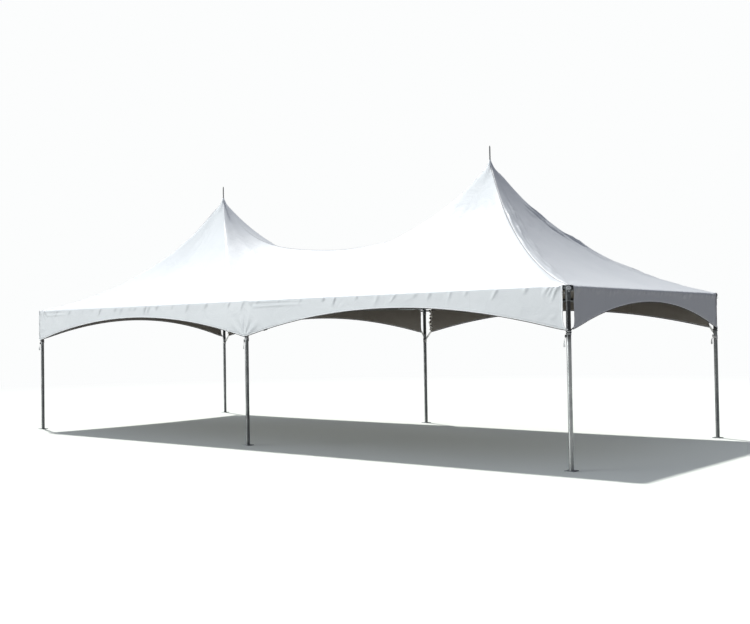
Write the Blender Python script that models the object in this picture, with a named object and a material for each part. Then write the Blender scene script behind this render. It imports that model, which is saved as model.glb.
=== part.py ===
"""Two-peak marquee tent: tube frame, crossing cables, masts, one stretched canopy and hanging valances.

Frame: metres, +Z up. The origin is on the ground under the middle of the tent, +X runs along the
long side to the right, and +Y runs to the back.
"""

import math
from itertools import product

import bmesh
import bpy
from mathutils import Matrix, Vector

# Driving dimensions, in metres
BAY = 6.10                 # spacing of the legs along the long side
BAYS = (-1, 1)             # left and right bay
WIDTH = 5.00               # spacing of the legs across the tent
EAVE = 2.444               # top of the canopy over the eave tubes
PEAK = 4.70                # top of the canopy at the two peaks
TIP = 4.96                 # tips of the two spires
MAST_SHIFT = 0.25          # how far each mast stands outside its bay's middle
GAP = 0.0003               # clearance between pieces that touch
PAST = 0.010               # how far a cutter runs past the face that it opens

# Tubes
TUBE_R = 0.0318            # legs and eave tubes, outer radius
TUBE_WALL = 0.0030
TUBE_SIDES = 24
MAST_R = 0.0254
SPIRE_R = 0.0110
SPIRE_ROUND = 0.030        # the spire starts to narrow this far below its tip
SPIRE_NOSE = 0.008         # and its blunt nose starts this far below it

# Fittings
SLEEVE_WALL = 0.0040       # crown sleeves slide over the tubes
SLEEVE_R = TUBE_R + GAP + SLEEVE_WALL
SLEEVE_DOWN = 0.170        # length of the sleeve over a leg, below the tubes' axis
SLEEVE_OUT = 0.150         # length of a sleeve over an eave tube, from the leg's axis
STOP = 0.040               # solid block in the middle of a crown
LEG_SEAT = STOP / 2 + TUBE_R / 2   # the leg's end stops this far below the tubes' axis
BOSS_R = 0.0130            # boss that a cable ends on
BOSS_OUT = 0.075           # from the leg's axis to the boss's end
BOSS_DROP = 0.060          # below the eave tubes' axis
BOSS_SIDES = 12
PLATE = 0.150              # square foot plate
PLATE_T = 0.008
PLATE_CORNER = 0.012       # radius of its corners
STUB_H = 0.120             # stub on the foot plate that goes up inside the leg
STUB_WALL = 0.0040
FOOT_R = 0.0550            # round foot under each mast
FOOT_H = 0.050
FOOT_BOSS_OUT = 0.080
CABLE_R = 0.0045
CABLE_SIDES = 10
HEAD_R = 0.050             # round plate at the mast's head, under the canopy's collar
HEAD_T = 0.010
HEAD_CONE = 0.030          # cones that lead from the mast to the plate and from the plate to the spire
CAP_R = 0.056              # bell-shaped cap round each spire
CAP_WALL = 0.007
CAP_NECK = 0.0060          # thickness of the cap's neck round the spire
CAP_UP = 0.022             # the neck reaches this far above the peak
CAP_DOWN = 0.015           # and this far below it

# Cloth
SHEET = 0.012              # canopy, thicker than the real sheet
SKIRT = 0.008              # valance, thicker than the real sheet
LIP = 0.0465               # how far the canopy reaches past the legs' axes
COLLAR_R = 0.040           # the canopy's hole at each peak
DROP_LEG = 0.610           # valance depth at the legs
DROP_MID = 0.220           # valance depth in the middle of a bay
DROP_GABLE = 0.190
CORNER_GAP = 0.072         # from a leg's axis to the valance's edge, where the valance ends at that leg
TAIL = 0.016               # where the valance's tail ends beside the leg's axis
TAIL_RISE = 0.160          # the side edge starts to curve this far above the tail
TAIL_H = 0.025             # height of the tail's end

# Roof form: an exponential rise towards each peak, with a saddle between the peaks
RISE = 1.75                # how sharply the canopy draws up to a peak
PINCH = 0.08               # how far each face falls in between its hips
SADDLE = 0.440             # the saddle's height, as a share of the rise
SADDLE_FALL = 2.1          # how quickly the ridge falls from a peak to the saddle
RIDGE_FILL = 0.015         # how much fuller the ridge is halfway to the saddle, as a share of the rise
LEVEL_POWER = 4            # each bay's inner faces level out at the middle line with this power
HIP_START = 0.15           # the canopy is round at a peak, and its hips are full this far out
CONE_REACH = 2.9           # the round part is a cone that would meet the eave this far out
RING_SPACING = 1.4         # the mesh's rings lie closer together near a peak

HALF_L = BAY
HALF_W = WIDTH / 2
MAST_X = BAY / 2 + MAST_SHIFT
TUBE_Z = EAVE - SHEET - GAP - SLEEVE_R
BOSS_Z = TUBE_Z - BOSS_DROP
FOOT_Z = BOSS_Z - FOOT_H / 2
COLUMNS = {"left": -HALF_L, "mid": 0.0, "right": HALF_L}
ROWS = {"front": -HALF_W, "back": HALF_W}


# Scene and materials

def clear_scene():
    for old in list(bpy.data.objects):
        bpy.data.objects.remove(old, do_unlink=True)


def make_material(name, colour, roughness, metallic):
    material = bpy.data.materials.new(name)
    material.use_nodes = True
    shader = material.node_tree.nodes["Principled BSDF"]
    shader.inputs["Base Color"].default_value = (*colour, 1.0)
    shader.inputs["Roughness"].default_value = roughness
    shader.inputs["Metallic"].default_value = metallic
    material.diffuse_color = (*colour, 1.0)
    return material


def make_materials():
    return {
        "canvas": make_material("white_coated_fabric", (0.86, 0.88, 0.89), 0.55, 0.0),
        "tube": make_material("aluminium_tube", (0.56, 0.57, 0.57), 0.38, 1.0),
        "fitting": make_material("galvanised_steel", (0.42, 0.43, 0.44), 0.45, 1.0),
        "rope": make_material("wire_rope", (0.35, 0.36, 0.37), 0.40, 1.0),
        "cap": make_material("moulded_cap", (0.80, 0.81, 0.82), 0.45, 0.0),
    }


def finish(name, bm, material, smooth_angle=35.0):
    """Turn a bmesh into a named object in world coordinates."""
    bmesh.ops.recalc_face_normals(bm, faces=bm.faces)
    mesh = bpy.data.meshes.new(name)
    bm.to_mesh(mesh)
    bm.free()
    mesh.shade_smooth()
    mesh.set_sharp_from_angle(angle=math.radians(smooth_angle))
    mesh.materials.append(material)
    piece = bpy.data.objects.new(name, mesh)
    bpy.context.scene.collection.objects.link(piece)
    return piece


# Round stock

def aim(start, end):
    """Matrix that takes the Z axis onto the line from start to end, centred between them."""
    start, end = Vector(start), Vector(end)
    turn = (end - start).to_track_quat("Z", "Y").to_matrix().to_4x4()
    return Matrix.Translation((start + end) / 2) @ turn


def add_rod(bm, start, end, radius, sides=TUBE_SIDES):
    length = (Vector(end) - Vector(start)).length
    bmesh.ops.create_cone(bm, cap_ends=True, segments=sides, radius1=radius, radius2=radius,
                          depth=length, matrix=aim(start, end))


def add_turned(bm, profile, place, steps=TUBE_SIDES):
    """Spin a profile of (radius, height) points about Z; its ends meet each other or the axis."""
    verts = [bm.verts.new((radius, 0.0, height)) for radius, height in profile]
    edges = [bm.edges.new(pair) for pair in zip(verts, verts[1:])]
    bmesh.ops.spin(bm, geom=verts + edges, cent=(0, 0, 0), axis=(0, 0, 1), angle=2 * math.pi,
                   steps=steps, use_merge=True)
    bmesh.ops.remove_doubles(bm, verts=bm.verts, dist=1e-5)
    bmesh.ops.transform(bm, matrix=place, verts=bm.verts)


def make_tube(name, start, end, radius, wall, material):
    """An open tube between two points."""
    half = (Vector(end) - Vector(start)).length / 2
    inner = radius - wall
    section = [(radius, -half), (radius, half), (inner, half), (inner, -half), (radius, -half)]
    bm = bmesh.new()
    add_turned(bm, section, aim(start, end))
    return finish(name, bm, material)


def make_rod(name, start, end, radius, material, sides=TUBE_SIDES):
    bm = bmesh.new()
    add_rod(bm, start, end, radius, sides)
    return finish(name, bm, material)


def make_turned(name, profile, centre, material):
    bm = bmesh.new()
    add_turned(bm, profile, Matrix.Translation(centre))
    return finish(name, bm, material)


# Booleans

def scratch(bm):
    """A temporary object for a Boolean."""
    bmesh.ops.recalc_face_normals(bm, faces=bm.faces)
    mesh = bpy.data.meshes.new("scratch")
    bm.to_mesh(mesh)
    bm.free()
    piece = bpy.data.objects.new("scratch", mesh)
    bpy.context.scene.collection.objects.link(piece)
    return piece


def combine(name, bodies, cutters, material):
    """Join bodies into one solid, take the cutters away, and name the result."""
    base = bodies[0]
    jobs = [(piece, "UNION") for piece in bodies[1:]] + [(piece, "DIFFERENCE") for piece in cutters]
    for piece, operation in jobs:
        modifier = base.modifiers.new(operation, "BOOLEAN")
        modifier.operation = operation
        modifier.object = piece
        modifier.solver = "EXACT"
    evaluated = base.evaluated_get(bpy.context.evaluated_depsgraph_get())
    bm = bmesh.new()
    bm.from_mesh(bpy.data.meshes.new_from_object(evaluated))
    bmesh.ops.remove_doubles(bm, verts=bm.verts, dist=1e-5)
    for piece in bodies + cutters:
        bpy.data.objects.remove(piece, do_unlink=True)
    return finish(name, bm, material)


def rod_solid(start, end, radius, sides=TUBE_SIDES):
    bm = bmesh.new()
    add_rod(bm, start, end, radius, sides)
    return scratch(bm)


# Where the cables run

def bay_corners(side):
    """The four crown fittings round a bay: (column, row, position of the leg's axis)."""
    outer = "left" if side < 0 else "right"
    return [(column, row, Vector((COLUMNS[column], ROWS[row], BOSS_Z)))
            for column in (outer, "mid") for row in ROWS]


def mast_point(side):
    return Vector((side * MAST_X, 0.0, BOSS_Z))


def cable_heading(corner, side):
    return (mast_point(side) - corner).normalized()


# Legs, foot plates and crowns

def make_leg(column, row, materials):
    x, y = COLUMNS[column], ROWS[row]
    return make_tube(f"leg_{row}_{column}", (x, y, PLATE_T + GAP), (x, y, TUBE_Z - LEG_SEAT - GAP),
                     TUBE_R, TUBE_WALL, materials["tube"])


def make_base_plate(column, row, materials):
    """A square plate with a stub welded on it, which stands inside the leg."""
    x, y = COLUMNS[column], ROWS[row]
    plate = bmesh.new()
    bmesh.ops.create_cube(plate, size=1.0)
    bmesh.ops.scale(plate, verts=plate.verts, vec=(PLATE, PLATE, PLATE_T))
    bmesh.ops.translate(plate, verts=plate.verts, vec=(x, y, PLATE_T / 2))
    corners = [edge for edge in plate.edges
               if abs(edge.verts[0].co.z - edge.verts[1].co.z) > PLATE_T / 2]
    bmesh.ops.bevel(plate, geom=corners, offset=PLATE_CORNER, segments=3, profile=0.5, affect="EDGES")
    stub_r = TUBE_R - TUBE_WALL - GAP
    stub = rod_solid((x, y, PLATE_T / 2), (x, y, PLATE_T + STUB_H), stub_r)
    bore = rod_solid((x, y, PLATE_T), (x, y, PLATE_T + STUB_H + PAST), stub_r - STUB_WALL)
    return combine(f"base_plate_{row}_{column}", [scratch(plate), stub], [bore], materials["fitting"])


def crown_arms(column, row):
    """Directions in which a crown's sleeves reach along the eave tubes."""
    along = {"left": [Vector((1, 0, 0))], "right": [Vector((-1, 0, 0))],
             "mid": [Vector((1, 0, 0)), Vector((-1, 0, 0))]}[column]
    inward = Vector((0, 1 if row == "front" else -1, 0))
    return along + [inward]


def make_crown(column, row, materials):
    """Sleeves over the leg and the tubes, round one centre, with bosses for the cables."""
    centre = Vector((COLUMNS[column], ROWS[row], TUBE_Z))
    down = Vector((0, 0, -1))
    bodies = [rod_solid(centre - down * SLEEVE_R, centre + down * SLEEVE_DOWN, SLEEVE_R)]
    cutters = [rod_solid(centre + down * LEG_SEAT, centre + down * (SLEEVE_DOWN + PAST), TUBE_R + GAP)]
    for arm in crown_arms(column, row):
        bodies.append(rod_solid(centre, centre + arm * SLEEVE_OUT, SLEEVE_R))
        cutters.append(rod_solid(centre + arm * STOP, centre + arm * (SLEEVE_OUT + PAST), TUBE_R + GAP))
    for side in BAYS:
        for corner_column, corner_row, corner in bay_corners(side):
            if (corner_column, corner_row) == (column, row):
                heading = cable_heading(corner, side)
                bodies.append(rod_solid(corner + heading * (SLEEVE_R - SLEEVE_WALL / 2),
                                        corner + heading * BOSS_OUT, BOSS_R, BOSS_SIDES))
    return combine(f"crown_{row}_{column}", bodies, cutters, materials["fitting"])


# Eave tubes, masts and cables

def make_eave_tubes(materials):
    tubes = []
    inset = STOP + GAP
    for row, y in ROWS.items():
        for side in BAYS:
            name = f"eave_tube_{row}_" + ("left" if side < 0 else "right")
            ends = sorted((side * inset, side * (HALF_L - inset)))
            tubes.append(make_tube(name, (ends[0], y, TUBE_Z), (ends[1], y, TUBE_Z),
                                   TUBE_R, TUBE_WALL, materials["tube"]))
    names = {"left": "eave_tube_gable_left", "mid": "cross_tube_mid", "right": "eave_tube_gable_right"}
    for column, name in names.items():
        x = COLUMNS[column]
        tubes.append(make_tube(name, (x, -HALF_W + inset, TUBE_Z), (x, HALF_W - inset, TUBE_Z),
                               TUBE_R, TUBE_WALL, materials["tube"]))
    return tubes


def collar_height(radius):
    """Height of the canopy's top at a small radius from a peak's axis."""
    return roof_height(MAST_X + radius, 0.0)


def make_mast(side, materials):
    """A pole turned as one piece: the tube, a round plate under the canopy's collar, and the spire."""
    label = "left" if side < 0 else "right"
    foot_top = FOOT_Z + FOOT_H + GAP
    plate_top = collar_height(HEAD_R) - SHEET - GAP
    profile = [(0.0, foot_top), (MAST_R, foot_top), (MAST_R, plate_top - HEAD_T - HEAD_CONE),
               (HEAD_R, plate_top - HEAD_T), (HEAD_R, plate_top), (MAST_R, plate_top),
               (SPIRE_R, plate_top + HEAD_CONE), (SPIRE_R, TIP - SPIRE_ROUND),
               (SPIRE_R / 2, TIP - SPIRE_NOSE), (0.0, TIP)]
    return make_turned(f"mast_{label}", profile, (side * MAST_X, 0, 0), materials["tube"])


def make_mast_foot(side, materials):
    """A round block under the mast, with four bosses that the cables pull on."""
    label = "left" if side < 0 else "right"
    centre = mast_point(side)
    low, high = centre.z - FOOT_H / 2, centre.z + FOOT_H / 2
    bodies = [rod_solid((centre.x, 0, low), (centre.x, 0, high), FOOT_R)]
    for _, _, corner in bay_corners(side):
        heading = cable_heading(corner, side)
        bodies.append(rod_solid(centre - heading * (FOOT_R - BOSS_R), centre - heading * FOOT_BOSS_OUT,
                                BOSS_R, BOSS_SIDES))
    return combine(f"mast_foot_{label}", bodies, [], materials["fitting"])


def make_cables(side, materials):
    label = "left" if side < 0 else "right"
    cables = []
    for number, (_, _, corner) in enumerate(bay_corners(side), start=1):
        heading = cable_heading(corner, side)
        cables.append(make_rod(f"cable_{label}_{number}", corner + heading * (BOSS_OUT + GAP),
                               mast_point(side) - heading * (FOOT_BOSS_OUT + GAP),
                               CABLE_R, materials["rope"], CABLE_SIDES))
    return cables


def make_peak_cap(side, materials):
    """A bell-shaped cap that rests on the canopy's collar, round the spire."""
    label = "left" if side < 0 else "right"
    bore = SPIRE_R + GAP
    flat = math.cos(math.pi / TUBE_SIDES)
    rim = [(radius, collar_height(radius * flat) + GAP) for radius in (CAP_R, CAP_R - CAP_WALL)]
    neck = bore + CAP_NECK
    profile = [(bore, PEAK + CAP_UP), (neck, PEAK + CAP_UP), (neck, PEAK), *rim,
               (neck, PEAK - CAP_DOWN), (bore, PEAK - CAP_DOWN)]
    return make_turned(f"peak_cap_{label}", profile + profile[:1], (side * MAST_X, 0, 0), materials["cap"])


# The roof's form

def ease(share):
    """A smooth step from 0 to 1."""
    share = min(max(share, 0.0), 1.0)
    return share * share * (3 - 2 * share)


def rise(share):
    """Height share from 0 at the eave to 1 at a peak, for a share of the way in."""
    return (math.exp(RISE * share) - 1) / (math.exp(RISE) - 1)


def roof_height(x, y):
    """Height of the canopy's top over a point of the plan."""
    across = min(abs(y) / HALF_W, 1.0)
    outward = abs(x) - MAST_X
    if outward > 0:
        along = min(outward / (HALF_L - MAST_X), 1.0)
        lift = 0.0
    else:
        inward = -outward / MAST_X
        along = (inward - inward ** LEVEL_POWER / LEVEL_POWER) / (1 - 1 / LEVEL_POWER)
        start = CAP_R / MAST_X
        ridge = max(0.0, (inward - start) / (1 - start))
        fill = RIDGE_FILL * (4 * ridge * (1 - ridge)) ** 2 * (1 - across)
        lift = (SADDLE * (1 - (1 - ridge) ** SADDLE_FALL) + fill) * (1 - across)
    far, near = max(along, across), min(along, across)
    fall = (1 - near / far) ** 2 if far > 0 else 0.0
    square = far + PINCH * far * (1 - far) * fall
    radius = math.hypot(outward, y)
    hip = ease((radius - CAP_R) / HIP_START)
    distance = square * hip + radius / CONE_REACH * (1 - hip)
    return EAVE + (PEAK - EAVE) * (rise(1 - distance) + lift)


def rim_points(side, steps_x, steps_y):
    """Points once round a bay's rectangle, from the middle line's front end."""
    inner, outer = 0.0, side * HALF_L
    front, back = -HALF_W, HALF_W
    corners = [(inner, front), (outer, front), (outer, back), (inner, back)]
    counts = [steps_x, steps_y, steps_x, steps_y]
    points = []
    for corner, following, count in zip(corners, corners[1:] + corners[:1], counts):
        for step in range(count):
            share = step / count
            points.append((corner[0] + (following[0] - corner[0]) * share,
                           corner[1] + (following[1] - corner[1]) * share))
    return points


def lip_offset(x, y):
    """How the rim point moves out to the lip, past the legs' axes."""
    shift_x = math.copysign(LIP, x) if abs(abs(x) - HALF_L) < 1e-6 else 0.0
    shift_y = math.copysign(LIP, y) if abs(abs(y) - HALF_W) < 1e-6 else 0.0
    return shift_x, shift_y


def canopy_rings(side, steps_x=16, steps_y=12, rings=11):
    """Rings of points from the collar at the peak out to the lip, for one bay."""
    rim = rim_points(side, steps_x, steps_y)
    peak_x = side * MAST_X
    layers = []
    for ring in range(rings + 1):
        start = CAP_R if ring else COLLAR_R
        share = (max(ring - 1, 0) / (rings - 1)) ** RING_SPACING
        layer = []
        for rim_x, rim_y in rim:
            reach_x, reach_y = rim_x - peak_x, rim_y
            reach = math.hypot(reach_x, reach_y)
            length = start + (reach - start) * share
            x, y = peak_x + reach_x / reach * length, reach_y / reach * length
            layer.append((x, y, roof_height(x, y)))
        layers.append(layer)
    lip = []
    for x, y in rim:
        shift_x, shift_y = lip_offset(x, y)
        height = EAVE if shift_x or shift_y else roof_height(x, y)
        lip.append((x + shift_x, y + shift_y, height))
    layers.append(lip)
    return layers


def make_canopy(materials):
    """Spokes and rings round both peaks, welded along the middle line, then given thickness."""
    bm = bmesh.new()
    for side in BAYS:
        layers = [[bm.verts.new(point) for point in layer] for layer in canopy_rings(side)]
        for inner, outer in zip(layers, layers[1:]):
            count = len(inner)
            for index, vert in enumerate(inner):
                following = (index + 1) % count
                spokes = ((vert, outer[index]), (inner[following], outer[following]))
                if all((far.co - near.co).length > 1e-6 for near, far in spokes):
                    bm.faces.new((vert, inner[following], outer[following], outer[index]))
    bmesh.ops.remove_doubles(bm, verts=bm.verts, dist=1e-4)
    lower = bmesh.ops.extrude_face_region(bm, geom=bm.faces[:], use_keep_orig=True)
    moved = [item for item in lower["geom"] if isinstance(item, bmesh.types.BMVert)]
    bmesh.ops.translate(bm, verts=moved, vec=(0, 0, -SHEET))
    bmesh.ops.triangulate(bm, faces=bm.faces)
    return finish("roof_canopy", bm, materials["canvas"], 50.0)


# Valances

def hem_drop(share, mid):
    """Valance depth for a share of the way from one leg to the next."""
    return mid + (DROP_LEG - mid) * (2 * share - 1) ** 2


def valance_end(half, steps=5):
    """Side edge of a skirt at its right end: straight down, then curving in to the tail at the leg."""
    knee_z = EAVE - DROP_LEG + TAIL_RISE
    edge = [(half - CORNER_GAP, EAVE - SHEET - GAP), (half - CORNER_GAP, knee_z)]
    for step in range(1, steps + 1):
        share = step / steps
        swing = (CORNER_GAP - TAIL) * (1 - math.cos(share * math.pi / 2))
        drop = (TAIL_RISE - TAIL_H) * math.sin(share * math.pi / 2)
        edge.append((half - CORNER_GAP + swing, knee_z - drop))
    return edge


def valance_hem(half, bays, mid, steps=16):
    """The hem from the left end to the right end, in one arch for each bay."""
    hem = []
    for bay, step in product(range(bays), range(steps + 1)):
        if bay and step == 0:
            continue
        along = half * (2 * (bay + step / steps) / bays - 1)
        along = min(max(along, TAIL - half), half - TAIL)
        hem.append((along, EAVE - hem_drop(step / steps, mid)))
    return hem


def make_valance(name, half, bays, mid, place, materials):
    """A skirt drawn in the XZ plane, given thickness inward and set under the canopy's lip."""
    right = valance_end(half)
    left = [(-along, height) for along, height in right]
    outline = left + valance_hem(half, bays, mid) + right[::-1]
    bm = bmesh.new()
    face = bm.faces.new([bm.verts.new((along, 0.0, height)) for along, height in outline])
    inner = bmesh.ops.extrude_face_region(bm, geom=[face])
    moved = [item for item in inner["geom"] if isinstance(item, bmesh.types.BMVert)]
    bmesh.ops.translate(bm, verts=moved, vec=(0, SKIRT, 0))
    bmesh.ops.transform(bm, matrix=place, verts=bm.verts)
    bmesh.ops.triangulate(bm, faces=bm.faces)
    return finish(name, bm, materials["canvas"])


def make_valances(materials):
    """One skirt over both bays in front, one for each bay at the back, and one on each gable."""
    reach = SLEEVE_R + GAP + SKIRT
    bay_shape, gable_shape = (HALF_L / 2, 1, DROP_MID), (HALF_W, 1, DROP_GABLE)
    skirts = {"front": (0.0, (0, -HALF_W - reach, 0), (HALF_L, 2, DROP_MID)),
              "back_left": (math.pi, (-HALF_L / 2, HALF_W + reach, 0), bay_shape),
              "back_right": (math.pi, (HALF_L / 2, HALF_W + reach, 0), bay_shape),
              "gable_left": (-math.pi / 2, (-HALF_L - reach, 0, 0), gable_shape),
              "gable_right": (math.pi / 2, (HALF_L + reach, 0, 0), gable_shape)}
    for name, (turn, spot, shape) in skirts.items():
        place = Matrix.Translation(spot) @ Matrix.Rotation(turn, 4, "Z")
        make_valance(f"valance_{name}", *shape, place, materials)


def main():
    clear_scene()
    materials = make_materials()
    for column, row in product(COLUMNS, ROWS):
        make_base_plate(column, row, materials)
        make_leg(column, row, materials)
        make_crown(column, row, materials)
    make_eave_tubes(materials)
    for side in BAYS:
        make_mast(side, materials)
        make_mast_foot(side, materials)
        make_cables(side, materials)
        make_peak_cap(side, materials)
    make_canopy(materials)
    make_valances(materials)


main()
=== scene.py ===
# %% [markdown]
# # A marquee tent with two peaks
#
# The tent is a frame of round tubes on six legs, two masts that stand on crossing cables, one white canopy
# stretched over everything, and skirts with arched hems that hang from the eaves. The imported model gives
# the frame. This script gives it its cloth and finishes, in metres, with +X along the long side and +Z up.

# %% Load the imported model
import math
import random

import bmesh
import bpy
from mathutils import Matrix, Vector, noise


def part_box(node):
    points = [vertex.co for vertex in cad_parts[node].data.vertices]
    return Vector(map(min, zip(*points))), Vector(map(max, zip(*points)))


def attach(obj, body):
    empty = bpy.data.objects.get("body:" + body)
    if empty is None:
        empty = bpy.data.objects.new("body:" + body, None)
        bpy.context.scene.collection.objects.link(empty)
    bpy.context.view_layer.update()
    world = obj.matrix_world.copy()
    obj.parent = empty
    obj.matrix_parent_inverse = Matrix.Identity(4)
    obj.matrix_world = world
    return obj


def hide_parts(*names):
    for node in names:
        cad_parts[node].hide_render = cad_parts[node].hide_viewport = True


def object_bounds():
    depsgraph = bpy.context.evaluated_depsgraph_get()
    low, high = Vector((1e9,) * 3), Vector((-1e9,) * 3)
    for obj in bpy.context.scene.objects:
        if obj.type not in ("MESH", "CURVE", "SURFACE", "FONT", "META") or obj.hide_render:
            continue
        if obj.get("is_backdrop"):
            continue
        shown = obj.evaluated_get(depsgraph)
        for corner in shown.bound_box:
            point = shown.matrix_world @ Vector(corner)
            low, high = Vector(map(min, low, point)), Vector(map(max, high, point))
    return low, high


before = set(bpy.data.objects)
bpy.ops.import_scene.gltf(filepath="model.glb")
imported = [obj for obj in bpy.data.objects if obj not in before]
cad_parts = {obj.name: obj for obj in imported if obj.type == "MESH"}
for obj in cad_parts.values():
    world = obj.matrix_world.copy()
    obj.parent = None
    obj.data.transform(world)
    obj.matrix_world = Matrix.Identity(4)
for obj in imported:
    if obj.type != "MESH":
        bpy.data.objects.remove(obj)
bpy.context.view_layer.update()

# %% [markdown]
# ## Sizes read from the frame
#
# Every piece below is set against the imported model, so its sizes are read from the nodes' boxes. Only the
# packed canopy's thickness and the height of its peaks are written as numbers. The eave's height is the
# canopy's lowest edge plus that thickness, and a tube's radius is half its box.

# %% Sizes


def middle(node):
    low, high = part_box(node)
    return (low + high) / 2


COLUMNS = {name: middle(f"leg_front_{name}").x for name in ("left", "mid", "right")}
ROWS = {name: middle(f"leg_{name}_mid").y for name in ("front", "back")}
HALF_L, HALF_W = COLUMNS["right"], ROWS["back"]
MAST_X = middle("mast_right").x
CAD_SHEET = 0.012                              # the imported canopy's thickness
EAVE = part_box("roof_canopy")[0].z + CAD_SHEET
TUBE_Z = middle("eave_tube_front_left").z
TUBE_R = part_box("leg_front_left")[1].x - COLUMNS["left"]
SLEEVE_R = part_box("crown_front_mid")[1].z - TUBE_Z
PEAK = 4.70                                    # top of the canopy at a peak
BAYS = {"left": -1, "right": 1}
print("half length", round(HALF_L, 3), "half width", round(HALF_W, 3), "eave", round(EAVE, 3))

# %% [markdown]
# ## Camera
#
# The photograph is taken from standing height, off the right front corner, with a moderate wide lens. The
# place and angles were found by laying the tent's legs, eaves and peaks over the picture. The lens is
# written as a focal length on a 36 mm sensor, and the small roll is the picture's own tilt.

# %% Camera
CAMERA_SPOT = Vector((12.748, -14.496, 1.812))
CAMERA_YAW = math.radians(39.618)              # turned left from +Y
CAMERA_PITCH = math.radians(1.297)             # tilted up
CAMERA_ROLL = math.radians(-0.935)
SENSOR, FOCAL = 36.0, 49.46
SIGHT = 400                                    # how far it sees, beyond the floor's edge

forward = Vector((-math.sin(CAMERA_YAW) * math.cos(CAMERA_PITCH),
                  math.cos(CAMERA_YAW) * math.cos(CAMERA_PITCH), math.sin(CAMERA_PITCH)))
level_right = Vector((math.cos(CAMERA_YAW), math.sin(CAMERA_YAW), 0))
level_up = level_right.cross(forward)
right = level_right * math.cos(CAMERA_ROLL) + level_up * math.sin(CAMERA_ROLL)
up = right.cross(forward)
camera_data = bpy.data.cameras.new("photo_camera")
camera_data.sensor_width = SENSOR
camera_data.lens = FOCAL
camera_data.clip_end = SIGHT
camera = bpy.data.objects.new("photo_camera", camera_data)
camera.matrix_world = Matrix.Translation(CAMERA_SPOT) @ Matrix((right, up, -forward)).transposed().to_4x4()
bpy.context.scene.collection.objects.link(camera)
bpy.context.scene.camera = camera
print("camera", round(CAMERA_SPOT.length, 2), "m from the tent's middle, lens", FOCAL, "mm")

# %% [markdown]
# ## Helpers for materials
#
# Colours are written as the sRGB hex values that a colour picker gives, and Blender wants linear light, so
# one function turns them. A second one adds a shader node with its settings and links. Every material below
# is built with these two, and most get their colour and relief by a third.

# %% Colour and node helpers


def colour(code):
    """An sRGB hex code as linear RGBA."""
    channels = [int(code[place:place + 2], 16) / 255 for place in (1, 3, 5)]
    return (*(c / 12.92 if c <= 0.04045 else ((c + 0.055) / 1.055) ** 2.4 for c in channels), 1.0)


def add_node(tree, kind, links=None, values=None, **settings):
    """Add a node, set its properties and unlinked sockets, and link its other sockets."""
    node = tree.nodes.new(kind)
    for key, value in settings.items():
        setattr(node, key, value)
    for socket, value in (values or {}).items():
        node.inputs[socket].default_value = value
    for socket, source in (links or {}).items():
        tree.links.new(source, node.inputs[socket])
    return node


def start_material(name, roughness, metallic=0.0):
    """A Principled material, with its node tree and shader."""
    material = bpy.data.materials.new(name)
    material.use_nodes = True
    shader = material.node_tree.nodes["Principled BSDF"]
    shader.inputs["Roughness"].default_value = roughness
    shader.inputs["Metallic"].default_value = metallic
    return material, material.node_tree, shader


def give_surface(tree, shader, tone, height, strength, distance=1.0):
    """Link a material's colour, and its relief from a height in units of a distance in metres."""
    tree.links.new(tone, shader.inputs["Base Color"])
    bump = add_node(tree, "ShaderNodeBump", {"Height": height}, {"Strength": strength, "Distance": distance})
    tree.links.new(bump.outputs[0], shader.inputs["Normal"])


print("middle grey in linear light:", [round(part, 3) for part in colour("#808080")])

# %% [markdown]
# ## Studio floor and light
#
# The tent stands alone on a plain pale floor. A floor with an edge would show a horizon, so far from the
# tent it fades into the backdrop's own tone. It is drawn from above only, so that the tent can be looked at
# from below too.

# %% Floor
BACKDROP, FLOOR_COLOUR = "#FCFDFD", "#F0F4EE"
FLOOR_R, FLOOR_Z = 150.0, -0.001
FADE_FROM, FADE_TO = 10.0, 26.0                # it fades between these distances from the tent's middle

material, tree, shader = start_material("studio_floor_matt_paint", 0.9)
shader.inputs["Base Color"].default_value = colour(FLOOR_COLOUR)
shader.inputs["Specular IOR Level"].default_value = 0.1
place = add_node(tree, "ShaderNodeTexCoord")
reach = add_node(tree, "ShaderNodeVectorMath", {0: place.outputs["Object"]}, operation="LENGTH")
fade = add_node(tree, "ShaderNodeMapRange", {"Value": reach.outputs["Value"]},
                {"From Min": FADE_FROM, "From Max": FADE_TO}, interpolation_type="SMOOTHSTEP")
glow = add_node(tree, "ShaderNodeEmission", values={"Color": colour(BACKDROP)})
faded = add_node(tree, "ShaderNodeMixShader",
                 {0: fade.outputs["Result"], 1: shader.outputs[0], 2: glow.outputs[0]})
clear = add_node(tree, "ShaderNodeBsdfTransparent")
side = add_node(tree, "ShaderNodeNewGeometry")
shown = add_node(tree, "ShaderNodeMixShader",
                 {0: side.outputs["Backfacing"], 1: faded.outputs[0], 2: clear.outputs[0]})
tree.links.new(shown.outputs[0], tree.nodes["Material Output"].inputs["Surface"])

bm = bmesh.new()
bmesh.ops.create_circle(bm, cap_ends=True, segments=96, radius=FLOOR_R,
                        matrix=Matrix.Translation((0, 0, FLOOR_Z)))
mesh = bpy.data.meshes.new("studio_floor")
bm.to_mesh(mesh)
bm.free()
mesh.materials.append(material)
floor = bpy.data.objects.new("studio_floor", mesh)
bpy.context.scene.collection.objects.link(floor)
floor.visible_diffuse = False              # white cloth over a white floor would lose its shaded sides
floor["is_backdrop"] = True
print("floor:", FLOOR_R, "m round, faded from", FADE_FROM, "to", FADE_TO, "m")

# %% [markdown]
# The picture has a high light from the left that leaves the right gable and the underside in shade, and a
# gentler light from the front. Two very large, distant lamps do the same: a key with a fairly soft edge and
# a much softer fill. The room itself adds a little cool light from above and less from below.

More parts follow.
